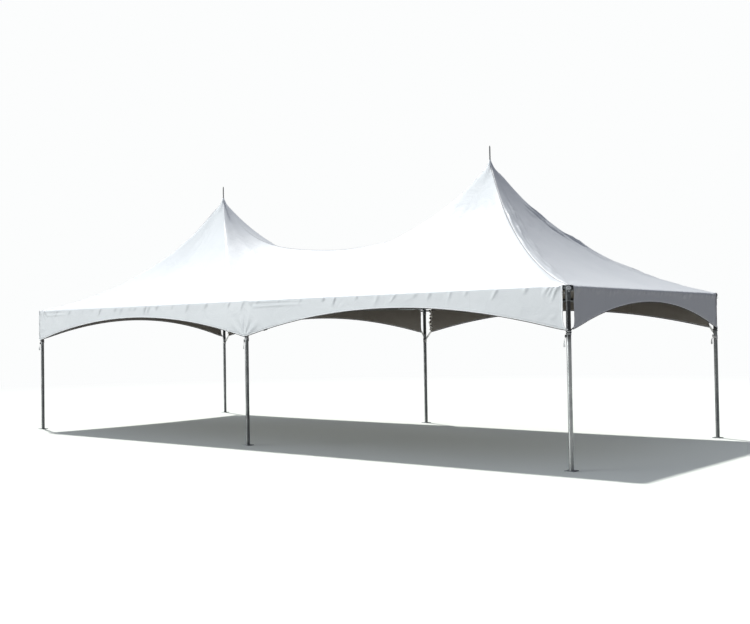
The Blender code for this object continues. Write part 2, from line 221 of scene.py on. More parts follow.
# %% Light
KEY_TOWARDS = Vector((-0.45, 0.185, 0.874))
KEY_STRENGTH, KEY_ANGLE = 3.35, 3.0
FILL_TOWARDS = Vector((-0.66, -0.74, 0.12))
FILL_STRENGTH, FILL_ANGLE = 2.80, 32.0


def add_lamp(name, towards, strength, angle, tint):
    data = bpy.data.lights.new(name, "SUN")
    data.energy = strength
    data.angle = math.radians(angle)
    data.color = colour(tint)[:3]
    lamp = bpy.data.objects.new(name, data)
    lamp.rotation_euler = towards.to_track_quat("Z", "Y").to_euler()
    bpy.context.scene.collection.objects.link(lamp)


add_lamp("key_lamp", KEY_TOWARDS, KEY_STRENGTH, KEY_ANGLE, "#FFFEFB")
add_lamp("fill_lamp", FILL_TOWARDS, FILL_STRENGTH, FILL_ANGLE, "#F7FBF9")

world = bpy.data.worlds.new("studio_room")
world.use_nodes = True
tree = world.node_tree
surface = tree.nodes["Background"]
place = add_node(tree, "ShaderNodeTexCoord")
split = add_node(tree, "ShaderNodeSeparateXYZ", {0: place.outputs["Generated"]})
height = add_node(tree, "ShaderNodeMapRange", {"Value": split.outputs["Z"]},
                  {"From Min": -0.35, "From Max": 0.5})
room = add_node(tree, "ShaderNodeMix", {"Factor": height.outputs["Result"]},
                {"A": colour("#55514E"), "B": colour("#8C909B")}, data_type="RGBA")
seen = add_node(tree, "ShaderNodeLightPath")
tone = add_node(tree, "ShaderNodeMix", {"Factor": seen.outputs["Is Camera Ray"], "A": room.outputs["Result"]},
                {"B": colour(BACKDROP)}, data_type="RGBA")
tree.links.new(tone.outputs["Result"], surface.inputs["Color"])
bpy.context.scene.world = world
bpy.context.scene.view_settings.view_transform = "Standard"
print("lamps: key", KEY_STRENGTH, "and fill", FILL_STRENGTH)

# %% [markdown]
# ## Helpers for shapes
#
# Three ways of making a piece cover nearly everything here. A piece can be turned, by spinning half of its
# outline about an axis, as a lathe does. It can be swept, by carrying a small section along a path and
# extruding it at each step, as webbing and welded hems run. Or it can be a grid or a ring that is grown
# outwards edge by edge, as the cloth is. The last helper cleans any of them and hands it to the frame.

# %% Shape helpers
UP, DOWN = Vector((0, 0, 1)), Vector((0, 0, -1))


def new_piece(name, bm, slot, *materials, angle=38.0):
    """Merge doubles, point the faces outwards, and shade smooth between sharp edges. The slot is not used."""
    bmesh.ops.remove_doubles(bm, verts=bm.verts, dist=1e-5)
    bmesh.ops.recalc_face_normals(bm, faces=bm.faces)
    return hand_over(name, bm, slot, *materials, angle=angle)


def hand_over(name, bm, slot, *materials, angle):
    """Turn a mesh into a piece as it is."""
    mesh = bpy.data.meshes.new(name)
    bm.to_mesh(mesh)
    bm.free()
    for material in materials:
        mesh.materials.append(material)
    mesh.shade_smooth()
    mesh.set_sharp_from_angle(angle=math.radians(angle))
    piece = bpy.data.objects.new(name, mesh)
    bpy.context.scene.collection.objects.link(piece)
    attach(piece, "root")
    return piece


def triangles(piece):
    seen = piece.evaluated_get(bpy.context.evaluated_depsgraph_get())
    return sum(len(face.vertices) - 2 for face in seen.data.polygons)


def aim(spot, towards):
    """Matrix that stands the Z axis on a spot, pointing towards a direction."""
    return Matrix.Translation(spot) @ towards.to_track_quat("Z", "Y").to_matrix().to_4x4()


def axes_matrix(x_axis, y_axis, z_axis):
    return Matrix((x_axis, y_axis, z_axis)).transposed().to_4x4()


def heading_at(angle):
    """A level direction."""
    return Vector((math.cos(angle), math.sin(angle), 0.0))


def mark_done(bm):
    """Tag all vertices, so that add_turned moves only the ones made after them."""
    for vert in bm.verts:
        vert.tag = True


def add_turned(bm, outline, place, steps):
    """Spin an outline of (radius, height) points about Z and put it in place."""
    verts = [bm.verts.new((radius, 0.0, height)) for radius, height in outline]
    edges = [bm.edges.new(pair) for pair in zip(verts, verts[1:])]
    bmesh.ops.spin(bm, geom=verts + edges, cent=(0, 0, 0), axis=(0, 0, 1), angle=2 * math.pi,
                   steps=steps, use_merge=True)
    bmesh.ops.transform(bm, matrix=place, verts=[vert for vert in bm.verts if not vert.tag])
    mark_done(bm)


def add_swept(bm, section, frames, closed=False):
    """Carry a section of (across, out) points along frames of (spot, across, out) and extrude it."""
    spot, across, out = frames[0]
    ring = [bm.verts.new(spot + across * a + out * b) for a, b in section]
    edges = [bm.edges.new(pair) for pair in zip(ring, ring[1:] + ring[:1])]
    start = list(edges)
    for spot, across, out in frames[1:]:
        made = bmesh.ops.extrude_edge_only(bm, edges=edges)["geom"]
        fresh = [item for item in made if isinstance(item, bmesh.types.BMVert)]
        for vert, (a, b) in zip(fresh, section):
            vert.co = spot + across * a + out * b
        edges = [item for item in made if isinstance(item, bmesh.types.BMEdge)
                 and item.verts[0] in fresh and item.verts[1] in fresh]
    if closed:
        bmesh.ops.bridge_loops(bm, edges=start + edges)
    else:
        bmesh.ops.holes_fill(bm, edges=start)
        bmesh.ops.holes_fill(bm, edges=edges)
    mark_done(bm)


def ease(share):
    share = min(max(share, 0.0), 1.0)
    return share * share * (3 - 2 * share)


def ripple(*spot):
    """Smooth noise from -1 to 1 at a place."""
    return noise.noise(Vector((*spot, 0.0, 0.0)[:3]))


print("a level direction at 30 degrees:", [round(part, 3) for part in heading_at(math.radians(30))])

# %% [markdown]
# ## The cover's cloth
#
# Marquee covers are polyester cloth, woven and then coated on both sides with white PVC. The coating makes
# it heavy, a little glossy, and nearly lightproof. The weave shows through as a faint grid; the real
# threads are under a millimetre apart, so the grid here is drawn coarser than life to be seen at all.
# Breadths of cloth are joined by hot air welding, which leaves flat double bands about 25 mm wide. The
# pattern runs with the cloth, so it is drawn in the sheet's own map, whose unit is a metre.

# %% Cloth material
BREADTH = 1.525                                # from one weld to the next
WELD = 0.0125                                  # half of a weld's width
WEAVE = 0.007                                  # drawn spacing of the threads
HIP_SCALE = 1.90                               # turns a share of a bay, across its hip, into metres
RIDGE_SEAM = 0.016                             # half of the ridge seam's width


def cloth_material(name, base, shade, weld, seam_shade, roughness, mottle, sheen):
    """Coated cloth: its colour, a darker shade it drifts to, its welds, its seams' painted shade, and its
    relief.
    """
    material, tree, shader = start_material(name, roughness)
    chart = add_node(tree, "ShaderNodeUVMap", uv_map="cloth")
    axes = add_node(tree, "ShaderNodeSeparateXYZ", {0: chart.outputs[0]})
    place = add_node(tree, "ShaderNodeTexCoord")

    # broad drift of tone, as light scatters in the coating and dust lies on it
    drift = add_node(tree, "ShaderNodeTexNoise", {"Vector": place.outputs["Object"]},
                     {"Scale": 0.9, "Detail": 4.0, "Roughness": 0.62})
    amount = add_node(tree, "ShaderNodeMapRange", {"Value": drift.outputs["Fac"]},
                      {"From Min": 0.42, "From Max": 0.72, "To Min": 0.0, "To Max": mottle})
    tone = add_node(tree, "ShaderNodeMix", {"Factor": amount.outputs["Result"]},
                    {"A": colour(base), "B": colour(shade)}, data_type="RGBA")

    # welds across the cloth
    off = add_node(tree, "ShaderNodeMath", {0: axes.outputs["X"]}, {1: BREADTH / 2}, operation="PINGPONG")
    band = add_node(tree, "ShaderNodeMapRange", {"Value": off.outputs[0]},
                    {"From Min": WELD * 0.85, "From Max": WELD * 1.15, "To Min": 1.0, "To Max": 0.0})
    joined = add_node(tree, "ShaderNodeMix", {"Factor": band.outputs["Result"], "A": tone.outputs["Result"]},
                      {"B": colour(weld)}, data_type="RGBA")

    # the seams down the outer hips: a thin line of painted shade along the weld's edge, and a white painted
    # highlight beside it
    plan = add_node(tree, "ShaderNodeVectorMath", {0: place.outputs["Object"]}, operation="ABSOLUTE")
    slope = add_node(tree, "ShaderNodeVectorMath", {0: plan.outputs[0]},
                     {1: (HIP_SCALE / (HALF_L - MAST_X), -HIP_SCALE / HALF_W, 0.0)}, operation="DOT_PRODUCT")
    for shift, half, seam in ((-0.010, 0.006, seam_shade), (0.004, 0.007, "#FFFFFF")):
        near = add_node(tree, "ShaderNodeMath", {0: slope.outputs["Value"]},
                        {1: HIP_SCALE * MAST_X / (HALF_L - MAST_X) + shift, 2: half}, operation="COMPARE")
        joined = add_node(tree, "ShaderNodeMix", {"Factor": near.outputs[0], "A": joined.outputs["Result"]},
                          {"B": colour(seam)}, data_type="RGBA")

    # the seam along the ridge gets a thin line of painted shade, in the level stretch between the masts
    apart = add_node(tree, "ShaderNodeSeparateXYZ", {0: plan.outputs[0]})
    inside = add_node(tree, "ShaderNodeMapRange", {"Value": apart.outputs["X"]},
                      {"From Min": MAST_X - 0.5, "From Max": MAST_X - 1.3})
    by_ridge = add_node(tree, "ShaderNodeMath", {0: apart.outputs["Y"]},
                        {1: RIDGE_SEAM}, operation="LESS_THAN")
    ridge = add_node(tree, "ShaderNodeMath", {0: inside.outputs["Result"], 1: by_ridge.outputs[0]},
                     operation="MULTIPLY")
    joined = add_node(tree, "ShaderNodeMix", {"Factor": ridge.outputs[0], "A": joined.outputs["Result"]},
                      {"B": colour(seam_shade)}, data_type="RGBA")

    # relief: weave, small crumples, and the step at a weld, all in metres
    warp = add_node(tree, "ShaderNodeMath", {0: axes.outputs["X"]}, {1: WEAVE / 2}, operation="PINGPONG")
    weft = add_node(tree, "ShaderNodeMath", {0: axes.outputs["Y"]}, {1: WEAVE / 2}, operation="PINGPONG")
    crossing = add_node(tree, "ShaderNodeMath", {0: warp.outputs[0], 1: weft.outputs[0]}, operation="MAXIMUM")
    threads = add_node(tree, "ShaderNodeMath", {0: crossing.outputs[0]}, {1: 0.03}, operation="MULTIPLY")
    crumple = add_node(tree, "ShaderNodeTexNoise", {"Vector": place.outputs["Object"]},
                       {"Scale": 3.2, "Detail": 5.0, "Roughness": 0.55, "Distortion": 0.8})
    crease = add_node(tree, "ShaderNodeMath", {0: crumple.outputs["Fac"]}, {1: 0.011}, operation="MULTIPLY")
    step = add_node(tree, "ShaderNodeMath", {0: band.outputs["Result"]}, {1: 0.0004}, operation="MULTIPLY")
    relief = add_node(tree, "ShaderNodeMath", {0: threads.outputs[0], 1: crease.outputs[0]}, operation="ADD")
    relief = add_node(tree, "ShaderNodeMath", {0: relief.outputs[0], 1: step.outputs[0]}, operation="ADD")
    give_surface(tree, shader, joined.outputs["Result"], relief.outputs[0], 0.8)
    shader.inputs["Coat Weight"].default_value = sheen
    shader.inputs["Coat Roughness"].default_value = 0.35
    return material


# bright and slightly cool outside, as blue-white pigment makes it look clean
outer_cloth = cloth_material("pvc_coated_polyester_outer",
                             "#E7EBEE", "#DBE0E4", "#E4E8EB", "#9DA0A3", 0.44, 0.55, 0.15)
# the inner face: a greyer, duller copy of the same cloth, its grey painted shade for the dim underside
inner_cloth_painted_shade = cloth_material("pvc_coated_polyester_inner_painted_shade",
                             "#B6B1A7", "#A6A096", "#AEA89E", "#8F8A82", 0.55, 0.60, 0.0)
# the bindings: a lighter copy of the cloth, a painted highlight, so that hems read as fine white lines
binding_cloth_painted_highlight = cloth_material("pvc_binding_tape_painted_highlight",
                               "#FCFEFF", "#F2F5F7", "#FAFCFD", "#F2F5F7", 0.40, 0.3, 0.2)
print("cloth:", outer_cloth.name, inner_cloth_painted_shade.name, binding_cloth_painted_highlight.name)

# %% [markdown]
# ## The canopy's form
#
# Over each bay the cloth is pulled up to a mast and held down at the eaves, so it hangs in a curve that is
# steep at the peak and almost flat at the edge. Between the masts it dips to a saddle. This cell writes
# that form as a height for each place in plan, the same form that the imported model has, with the edge
# carried out to where the cloth leaves the eave tube's shoulder. It also gives the plan that the cloth's
# rings follow, so that the creases above the legs fall on a line of vertices.

# %% Canopy form
ROLL_R = SLEEVE_R + 0.0044                     # the cloth's path round tubes and sleeves
SLOPE = math.radians(18.4)                     # its slope where it leaves them
EDGE = ROLL_R * math.sin(SLOPE)
BASE = TUBE_Z + ROLL_R * math.cos(SLOPE)
RUN_L, RUN_W = HALF_L + EDGE, HALF_W + EDGE
RISE = 1.75                                    # how strongly the slope steepens towards a peak
PINCH = 0.08                                   # how far its level lines are drawn in between the hips
SADDLE, SADDLE_FALL = 0.440, 2.1               # the saddle's height as a share of a peak's; the ridge's fall
RIDGE_FILL = 0.015                             # a little more height halfway along the ridge
RIDGE_LEVEL, SLOPE_LEVEL = 4, 10               # how early the ridge and the slopes level out at the saddle
ROUND, CONE_REACH = 0.15, 2.9                  # round near a peak, as a cone of this reach
# between the masts the hips are slack and the ridge stands up
SOFT_HIP, RIDGE_POWER, SLACK = 0.6, 1.15, 0.28
HIP_ROUND = 0.06                               # how wide the outer hips are rounded, as a share of the bay
CAP_R, COLLAR_R = 0.056, 0.040


def level(inward, power):
    """A share of the way in to the saddle, run so that a curve drawn along it ends level there."""
    return (inward - inward ** power / power) / (1 - 1 / power)


def unlevel(share):
    """The inverse of level, by halving."""
    low, high = 0.0, 1.0
    for _ in range(40):
        guess = (low + high) / 2
        low, high = (guess, high) if level(guess, SLOPE_LEVEL) < share else (low, guess)
    return (low + high) / 2


def rise(share):
    """Height from 0 at the eave to 1 at a peak."""
    return (math.exp(RISE * share) - 1) / (math.exp(RISE) - 1)


def roof_height(x, y):
    """The smooth canopy's height at a place in plan."""
    across = min(abs(y) / RUN_W, 1.0)
    outward = abs(x) - MAST_X
    inward = -outward / MAST_X
    along = level(inward, SLOPE_LEVEL) if inward > 0 else min(outward / (RUN_L - MAST_X), 1.0)

    # the ridge to the saddle, and how it spreads into the slopes
    start = inward - CAP_R / MAST_X
    ridge = min(0.5 * (start + math.hypot(start, SLACK * across)) / (1 - CAP_R / MAST_X), 1.0)
    lift = SADDLE * (1 - (1 - ridge) ** SADDLE_FALL) + RIDGE_FILL * (4 * ridge * (1 - ridge)) ** 2
    lift += rise(1 - level(ridge, RIDGE_LEVEL)) - rise(1 - level(ridge, SLOPE_LEVEL))
    lift *= (1 - across) ** RIDGE_POWER
    if outward > 0:
        lift *= (1 - along * along) ** 2

    # how far down the slope a place is: square rings, drawn in between the hips, with rounded corners
    far, near = max(along, across), min(along, across)
    square = far
    if far > 0:
        square += PINCH * far * (1 - far) * (1 - (near / far) ** 2) ** 2
    if outward < 0:
        square += SOFT_HIP * (math.hypot(along, across) - far) * (1 - across)
    else:
        corner = max(0.0, 1 - (far - near) / HIP_ROUND)
        square += 0.25 * HIP_ROUND * corner * corner * ease(far / 0.25) * ease((1 - far) / 0.15)
    radius = math.hypot(outward, y)
    hip = ease((radius - CAP_R) / ROUND)
    distance = square * hip + radius / CONE_REACH * (1 - hip)
    return BASE + (PEAK - BASE) * (rise(1 - distance) + lift)


def slope_normal(x, y, step=0.004):
    """The cloth's upward normal at a place in plan."""
    fall_x = (roof_height(x + step, y) - roof_height(x - step, y)) / (2 * step)
    fall_y = (roof_height(x, y + step) - roof_height(x, y - step)) / (2 * step)
    return Vector((-fall_x, -fall_y, 1.0)).normalized()


def plan(side, along, across):
    """Where a bay's own square coordinates, each from -1 to 1, lie in plan."""
    if along > 0:
        x = MAST_X + along * (RUN_L - MAST_X)
    else:
        x = MAST_X * (1 - unlevel(-along))
    return side * x, across * RUN_W


print("saddle height", round(roof_height(0.0, 0.0), 3),
      "m, peak collar", round(roof_height(MAST_X + COLLAR_R, 0), 3), "m")

# %% [markdown]
# ## Folds in the stretched cloth
#
# Heavy cloth under tension is nearly smooth, and its folds say where the pull is. Short slanting puckers
# stand along the seams above the legs, most on the gable side, because the seam is tighter than the cloth
# beside it. Small ones stand along the eaves, where the cloth is drawn over the tube. Long faint tension
# lines run down from the peaks. Each is a small height along the cloth's normal that dies away from its
# line, and noise keeps them uneven.

# %% Folds
HIP_FOLD, HIP_WAVE, HIP_REACH = 0.0030, 0.095, 0.20
EAVE_FOLD, EAVE_REACH = 0.0045, 0.16
HIP_RUN = math.hypot(RUN_L - MAST_X, RUN_W)
HIP_X, HIP_Y = (RUN_L - MAST_X) / HIP_RUN, RUN_W / HIP_RUN
HIP_CREASES = {}
for side in BAYS.values():
    for row in ROWS:
        draw = random.Random(side * 5 + (17 if row == "front" else 29)).uniform
        down, creases = 0.45, []
        while down < 0.84 * HIP_RUN:
            # place down the hip and aside from it, then the turn, length, half width and height
            creases.append((down, draw(0.030, 0.26), draw(-0.10, 0.02), draw(0.20, 0.48), draw(0.012, 0.019),
                            draw(0.007, 0.017) * ease((3.4 - down) / 1.0)))
            down += draw(0.030, 0.09)
        HIP_CREASES[side, row] = creases
HIP_CREASES[BAYS["right"], "back"].append((1.55, 0.060, 0.0, 0.62, 0.020, 0.009))


def crease_height(ahead, aside, crease, grow, fade):
    """Height of one crease at a place that is so far ahead of its start and aside. It grows and fades within
    two lengths."""
    turn, length, width, height = crease
    run = ahead * math.cos(turn) + aside * math.sin(turn)
    off = aside * math.cos(turn) - ahead * math.sin(turn)
    return height * math.exp(-(off / width) ** 2) * ease(run / grow) * ease((length - run) / fade)


def hip_crease(side, x, y):
    """Puckers on the gable side of an outer hip. They run beside the seam and slant down into it."""
    out, aside, total = abs(x) - MAST_X, abs(y), 0.0
    down, away = out * HIP_X + aside * HIP_Y, out * HIP_Y - aside * HIP_X
    if not -0.01 < away < 0.36:
        return 0.0
    for place, gap, *crease in HIP_CREASES[side, "front" if y < 0 else "back"]:
        length = crease[1]
        if -0.02 < down - place < length + 0.05:
            total += crease_height(down - place, away - gap, crease, 0.3 * length, 0.5 * length)
    return total * ease(away / 0.022)


def roof_fold(side, along, across, x, y):
    """Height of the folds above the smooth canopy, in metres."""
    near_peak = ease((max(abs(along), abs(across)) - 0.08) / 0.16)
    reach_x = (RUN_L - MAST_X) if along > 0 else MAST_X
    far_x, far_y = abs(along) * reach_x, abs(across) * RUN_W
    down = math.hypot(far_x, far_y)
    total = math.hypot(reach_x, RUN_W)
    share = down / total
    off = abs(along) - abs(across)                             # above 0 on the gable's side of a hip
    away = abs(off) * (reach_x * RUN_W / total)
    strength = (1.0 if off > 0 else 0.38) if along > 0 else 0.28
    seed = 7.0 * side + (3.0 if y > 0 else 0.0) + (11.0 if along < 0 else 0.0)
    patch = 0.55 + 0.75 * ripple(down * 1.9 + seed, seed)
    phase = (down * 0.52 - away * 0.85) / HIP_WAVE * math.pi + 2.2 * ripple(down * 1.3, seed + 4)
    window = ease(share / 0.12) * ease((1.02 - share) / 0.12)
    fold = HIP_FOLD * strength * patch * window * math.sin(phase)
    fold *= math.exp(-away / HIP_REACH) * ease((away + 0.010) / 0.050)
    if along > 0 and off > 0:                                  # the puckers, and the seam's raised welt
        fold += hip_crease(side, x, y) + 0.004 * window * math.exp(-((away - 0.026) / 0.014) ** 2)

    # along the eaves, in three directions of the sheet
    edge = max(along if along > 0 else 0.0, abs(across))
    gap = (1 - edge) * 2.6
    walk = y if along >= abs(across) else x
    wave = math.sin(walk * 2 * math.pi / 0.21 + 3.5 * ripple(walk * 1.7, seed))
    wave *= 0.6 + ripple(walk * 2.3, 5.0)
    fold += EAVE_FOLD * wave * math.exp(-gap / EAVE_REACH) * ease(gap / 0.05)

    # from the crown fittings out into the cloth
    for corner in (RUN_L, 0.0):
        dx, dy = abs(x) - corner, RUN_W - abs(y)
        spread = math.hypot(dx, dy)
        turn = math.atan2(dy, abs(dx) + 1e-6)
        fold += 0.0035 * math.sin(turn * 15 + seed) * math.exp(-((spread - 0.30) / 0.32) ** 2)

    # long lines down from the peak, and a slow unevenness
    turn = math.atan2(y, abs(x) - MAST_X)
    fold += 0.0030 * near_peak * math.sin(turn * 22 + 2 * ripple(turn, seed)) * math.exp(-down / 1.1)
    fold += 0.0080 * near_peak * ripple(x * 0.75, y * 0.75, 2.0) * ease(gap / 0.5)
    return fold * near_peak


shares = [step / 200 for step in range(200)]
largest = max(roof_fold(1, share, 0.9 * share, *plan(1, share, 0.9 * share)) for share in shares)
print("largest hip fold", round(largest * 1000, 1), "mm")

# %% [markdown]
# ## The skirts' plan and creases
#
# A skirt hangs under each eave. Its hem is cut in an arch between the legs, so that people can walk in, and
# its tails are drawn to the legs. Across the front it is one sheet, drawn in at the middle leg; at the back
# each bay has its own. A skirt starts on the eave tube's shoulder, over the canopy's edge, and bends down
# from there. This cell holds each skirt's plan and the path that its cloth takes over the eave.

# %% Skirts' plan
DROP_LEG, DROP_MID, DROP_GABLE = 0.610, 0.220, 0.190
TAIL, SWING_H = 0.016, 0.135
KNEE = EAVE - DROP_LEG + 0.160                 # the side edge starts to swing in here
SKIRT_TOP = TUBE_Z + 0.012
SHOULDER = 0.012                               # how round the crown's corner lies under the cloth
SHOULDER_TURN = math.radians(50)               # a skirt starts this far up round the eave tube's shoulder
LIP_GAP = 0.072                                # the lip at the back stops this far from a corner leg
SKIRTS = {                                     # face, ends, gaps at both, arches, depth at mid-span, swing
    "valance_front": (("y", -1), -HALF_L, HALF_L, -0.034, 0.064, 2, DROP_MID, 1.0),
    "valance_back_left": (("y", 1), -HALF_L, 0.0, 0.165, 0.135, 1, DROP_MID, 0.25),
    "valance_back_right": (("y", 1), 0.0, HALF_L, 0.165, 0.135, 1, DROP_MID, 0.25),
    "valance_gable_left": (("x", -1), -HALF_W, HALF_W, 0.072, 0.072, 1, DROP_GABLE, 0.8),
    "valance_gable_right": (("x", 1), -HALF_W, HALF_W, 0.085, 0.072, 1, DROP_GABLE, 0.8),
}


def hang(face, walk, out, z):
    """A point beside one of the tent's faces: how far along it, how far out from the legs, how high."""
    axis, sign = face
    if axis == "y":
        return Vector((walk, sign * (HALF_W + out), z))
    return Vector((sign * (HALF_L + out), walk, z))


def hem_height(skirt, walk):
    _, start, end, _, _, arches, mid, _ = SKIRTS[skirt]
    span = (end - start) / arches
    share = ((walk - start) / span) % 1.0
    return EAVE - (mid + (DROP_LEG - mid) * (2 * share - 1) ** 2)


def over_eave(turn, near):
    """How far out and up the cloth lies round the eave: round on the tube, boxy on a crown near a leg."""
    flat, arc = ROLL_R - SHOULDER - EDGE, SHOULDER * math.pi / 2
    drop = ROLL_R * math.cos(SLOPE) - SHOULDER
    run = (turn - SLOPE) / (math.pi / 2 - SLOPE) * (flat + arc + drop)
    bend = min(max((run - flat) / SHOULDER, 0.0), math.pi / 2)
    out = EDGE + min(run, flat) + SHOULDER * math.sin(bend)
    up = drop + SHOULDER * math.cos(bend) - max(run - flat - arc, 0.0)
    box = 1 - ease((near - 0.050) / 0.075)
    return (ROLL_R * math.sin(turn) * (1 - box) + out * box,
            ROLL_R * math.cos(turn) * (1 - box) + up * box)


def to_leg(face, walk):
    """How far a place on a face is from the nearest leg."""
    return min(abs(walk - leg) for leg in (COLUMNS if face[0] == "y" else ROWS).values())


print("hems at mid-span:", {skirt: round(hem_height(skirt, start + (end - start) / arches / 2), 3)
                            for skirt, (_, start, end, _, _, arches, _, _) in SKIRTS.items()})

# %% [markdown]
# A skirt's creases say how it is pulled. Each is a low hump that starts at the eave and runs down at a
# slant. They are short and close together on the gables, and fan out from the top corners. They are drawn
# from a seed of the skirt's own, so they stay where they are each time the script runs.

# %% Creases


def make_creases(skirt):
    """Each crease: its start along the eave and up, turn from straight down, length, half width, height."""
    face, start, end, first, last, *_ = SKIRTS[skirt]
    draw = random.Random(len(skirt) + round(10 * start)).uniform
    creases = []
    walk = start + 0.16
    while walk < end - 0.16:
        if face[0] == "x":
            creases.append((walk, BASE, draw(-0.5, 0.5), draw(0.08, 0.15), 0.022, draw(0.008, 0.018)))
            walk += draw(0.075, 0.135)
        else:
            creases.append((walk, EAVE, draw(-0.75, -0.30), draw(0.10, 0.26), draw(0.018, 0.036),
                            draw(0.006, 0.013)))
            walk += draw(0.12, 0.50)
    for corner, inward in ((start + first, 1), (end - last, -1)):
        for step in range(4):
            creases.append((corner + inward * (0.015 + 0.050 * step), EAVE - 0.01, inward * draw(0.25, 0.95),
                            draw(0.12, 0.30), draw(0.013, 0.020), draw(0.008, 0.014)))
        creases.append((corner + inward * 0.09, draw(1.96, 2.08), inward * draw(1.2, 1.5), 0.13, 0.012,
                        0.007))
    return creases


CREASES = {skirt: make_creases(skirt) for skirt in SKIRTS}
# right of the front middle and left legs a fold runs down from the eave, and goes on level as a shallow pleat
for walk, length in ((0.09, 1.35), (-5.98, 0.80)):
    CREASES["valance_front"] += [(walk, EAVE, 0.85, 0.19, 0.020, 0.009),
                                 (walk + 0.09, 2.366, 1.57, length, 0.020, -0.008),
                                 (walk + 0.11, 2.334, 1.57, length, 0.015, 0.008)]


def skirt_fold(skirt, walk, z):
    """How far the cloth stands out from its flat place, in metres."""
    _, start, end, _, _, arches, _, _ = SKIRTS[skirt]
    seed = float(len(skirt)) + 0.7 * start
    depth = SKIRT_TOP - z
    fold = 0.0055 * ripple(walk * 0.8, z * 0.7, seed) * ease(depth / 0.30)
    fold += 0.0018 * ripple(walk * 4.5, z * 1.1, seed) * ease(depth / 0.12)
    for spot, top, *crease in CREASES[skirt]:
        length = crease[1]
        if abs(walk - spot) < length + 0.06:
            fold += crease_height(top - z, walk - spot, crease, 0.025, 0.7 * length)
    if arches == 2:                            # gathered where the straps draw it to the middle leg
        window = math.exp(-(walk / 0.10) ** 2) * ease((2.12 - z) / 0.22)
        fold += 0.0055 * window * (0.5 + 0.5 * math.cos(walk * 2 * math.pi / 0.042))
        spread, turn = math.hypot(walk, z - 1.80), math.atan2(z - 1.80, walk)
        fold += 0.0045 * math.sin(turn * 11) * math.exp(-((spread - 0.22) / 0.18) ** 2)
    return fold


def skirt_spot(skirt, across, down, lift=0.0):
    """A point of a skirt: across from 0 to 1 between its ends, down from -1 on the eave's shoulder through 0
    beside the tube to 1 at the hem."""
    face, start, end, first, last, _, _, swing = SKIRTS[skirt]
    near, far = start + first, end - last
    flat = near + (far - near) * across
    room = to_leg(face, flat)
    turn = math.pi / 2 + min(down, 0.0) * SHOULDER_TURN
    out, up = over_eave(turn, room)
    z = TUBE_Z + up + max(down, 0.0) * (hem_height(skirt, flat) - TUBE_Z)
    low = ease((TUBE_Z - 0.008 - z) / 0.020)   # below the tube the cloth may go in as well as out
    fold = max(skirt_fold(skirt, flat, z), -0.0004 - low * (0.0026 + 0.0080 * ease((room - 0.17) / 0.10)))
    fold = (fold + lift) * ease((BASE - z) / 0.034) + 0.0022
    bend = min(max((KNEE - z) / SWING_H, 0.0), 1.0)
    bow = swing * (1 - math.sqrt(1 - bend * bend))
    walk = flat - bow * max(first - TAIL, 0.0) * max(0.0, 1 - (flat - near) / 0.30) ** 2
    walk += bow * max(last - TAIL, 0.0) * max(0.0, 1 - (far - flat) / 0.30) ** 2
    out += fold * math.sin(turn)
    if skirt.startswith("valance_back"):       # its first edge is frayed into ruffles by wind
        ruffle = math.exp(-((flat - near) / 0.055) ** 2) * ease((2.35 - z) / 0.035)
        walk -= 0.026 * ruffle * (0.4 + ripple(z * 14, start))
        out += 0.010 * ruffle * math.sin(z * 2 * math.pi / 0.085 + 2 * ripple(z * 6, start))
    return hang(face, walk, out, z + fold * math.cos(turn))


for skirt in SKIRTS:
    print(skirt, "from", [round(value, 2) for value in skirt_spot(skirt, 0.0, 1.0)],
          "to", [round(value, 2) for value in skirt_spot(skirt, 1.0, 1.0)],
          "with", len(CREASES[skirt]), "creases")

# %% [markdown]
# ## The canopy
#
# The cover is one sheet, so both bays are grown into one mesh. Each starts as a ring of vertices round the
# mast's collar. The ring is extruded outwards again and again, each time laid on the form above, until it
# reaches the eave. On the three open sides it then goes on round the eave tube's shoulder and is tucked
# down behind the skirt. The bays meet on the middle line, where their vertices are merged.

# %% Canopy points
LONG_STEPS, GABLE_STEPS, SADDLE_STEPS = 110, 120, 70
RINGS = 44
COLLAR_SHARE = COLLAR_R / 2.65                 # the collar's radius as a share of the way out to the eave
NEAR_REACH = 2.6                               # metres for a whole share, close to the collar
TURNS = [math.radians(angle) for angle in (34, 50, 66, 78, 90)]
TUCK = TUBE_Z - 0.008                          # the canopy's own edge ends here, behind the skirt


def spokes():
    """Ends of the spokes round a bay's square."""
    ends = []
    for step in range(GABLE_STEPS):
        away = -1 + 2 * step / GABLE_STEPS
        ends.append((1.0, away * (1.5 - 0.5 * abs(away))))
    for step in range(LONG_STEPS):
        ends.append((1 - 2 * step / LONG_STEPS, 1.0))
    for step in range(SADDLE_STEPS):
        ends.append((-1.0, 1 - 2 * step / SADDLE_STEPS))
    for step in range(LONG_STEPS):
        ends.append((-1 + 2 * step / LONG_STEPS, -1.0))
    return ends


def canopy_point(side, end, share):
    """A point of the sheet at a share of the way from the collar to the edge."""
    along, across = end[0] * share, end[1] * share
    x, y = plan(side, along, across)
    dx, dy = x - side * MAST_X, y
    radius = math.hypot(dx, dy)
    blend = ease((share - COLLAR_SHARE) / 0.14)
    wanted = (1 - blend) * (COLLAR_R + (share - COLLAR_SHARE) * NEAR_REACH) + blend * radius
    x, y = side * MAST_X + dx * wanted / radius, dy * wanted / radius
    z = roof_height(x, y)
    bulge = roof_fold(side, along, across, x, y) * ease((1 - share) / 0.01)
    spot = Vector((x, y, z)) + slope_normal(x, y) * bulge
    if abs(end[0] + 1) < 1e-9 and share > 0.999:
        spot.x = 0.0
    return spot


def skirt_under(x, y):
    """The skirt below a place on the eave, and how far along it."""
    if abs(y) > RUN_W - 1e-6:
        return ("valance_front" if y < 0 else "valance_back_left" if x < 0 else "valance_back_right"), x
    return ("valance_gable_left" if x < 0 else "valance_gable_right"), y


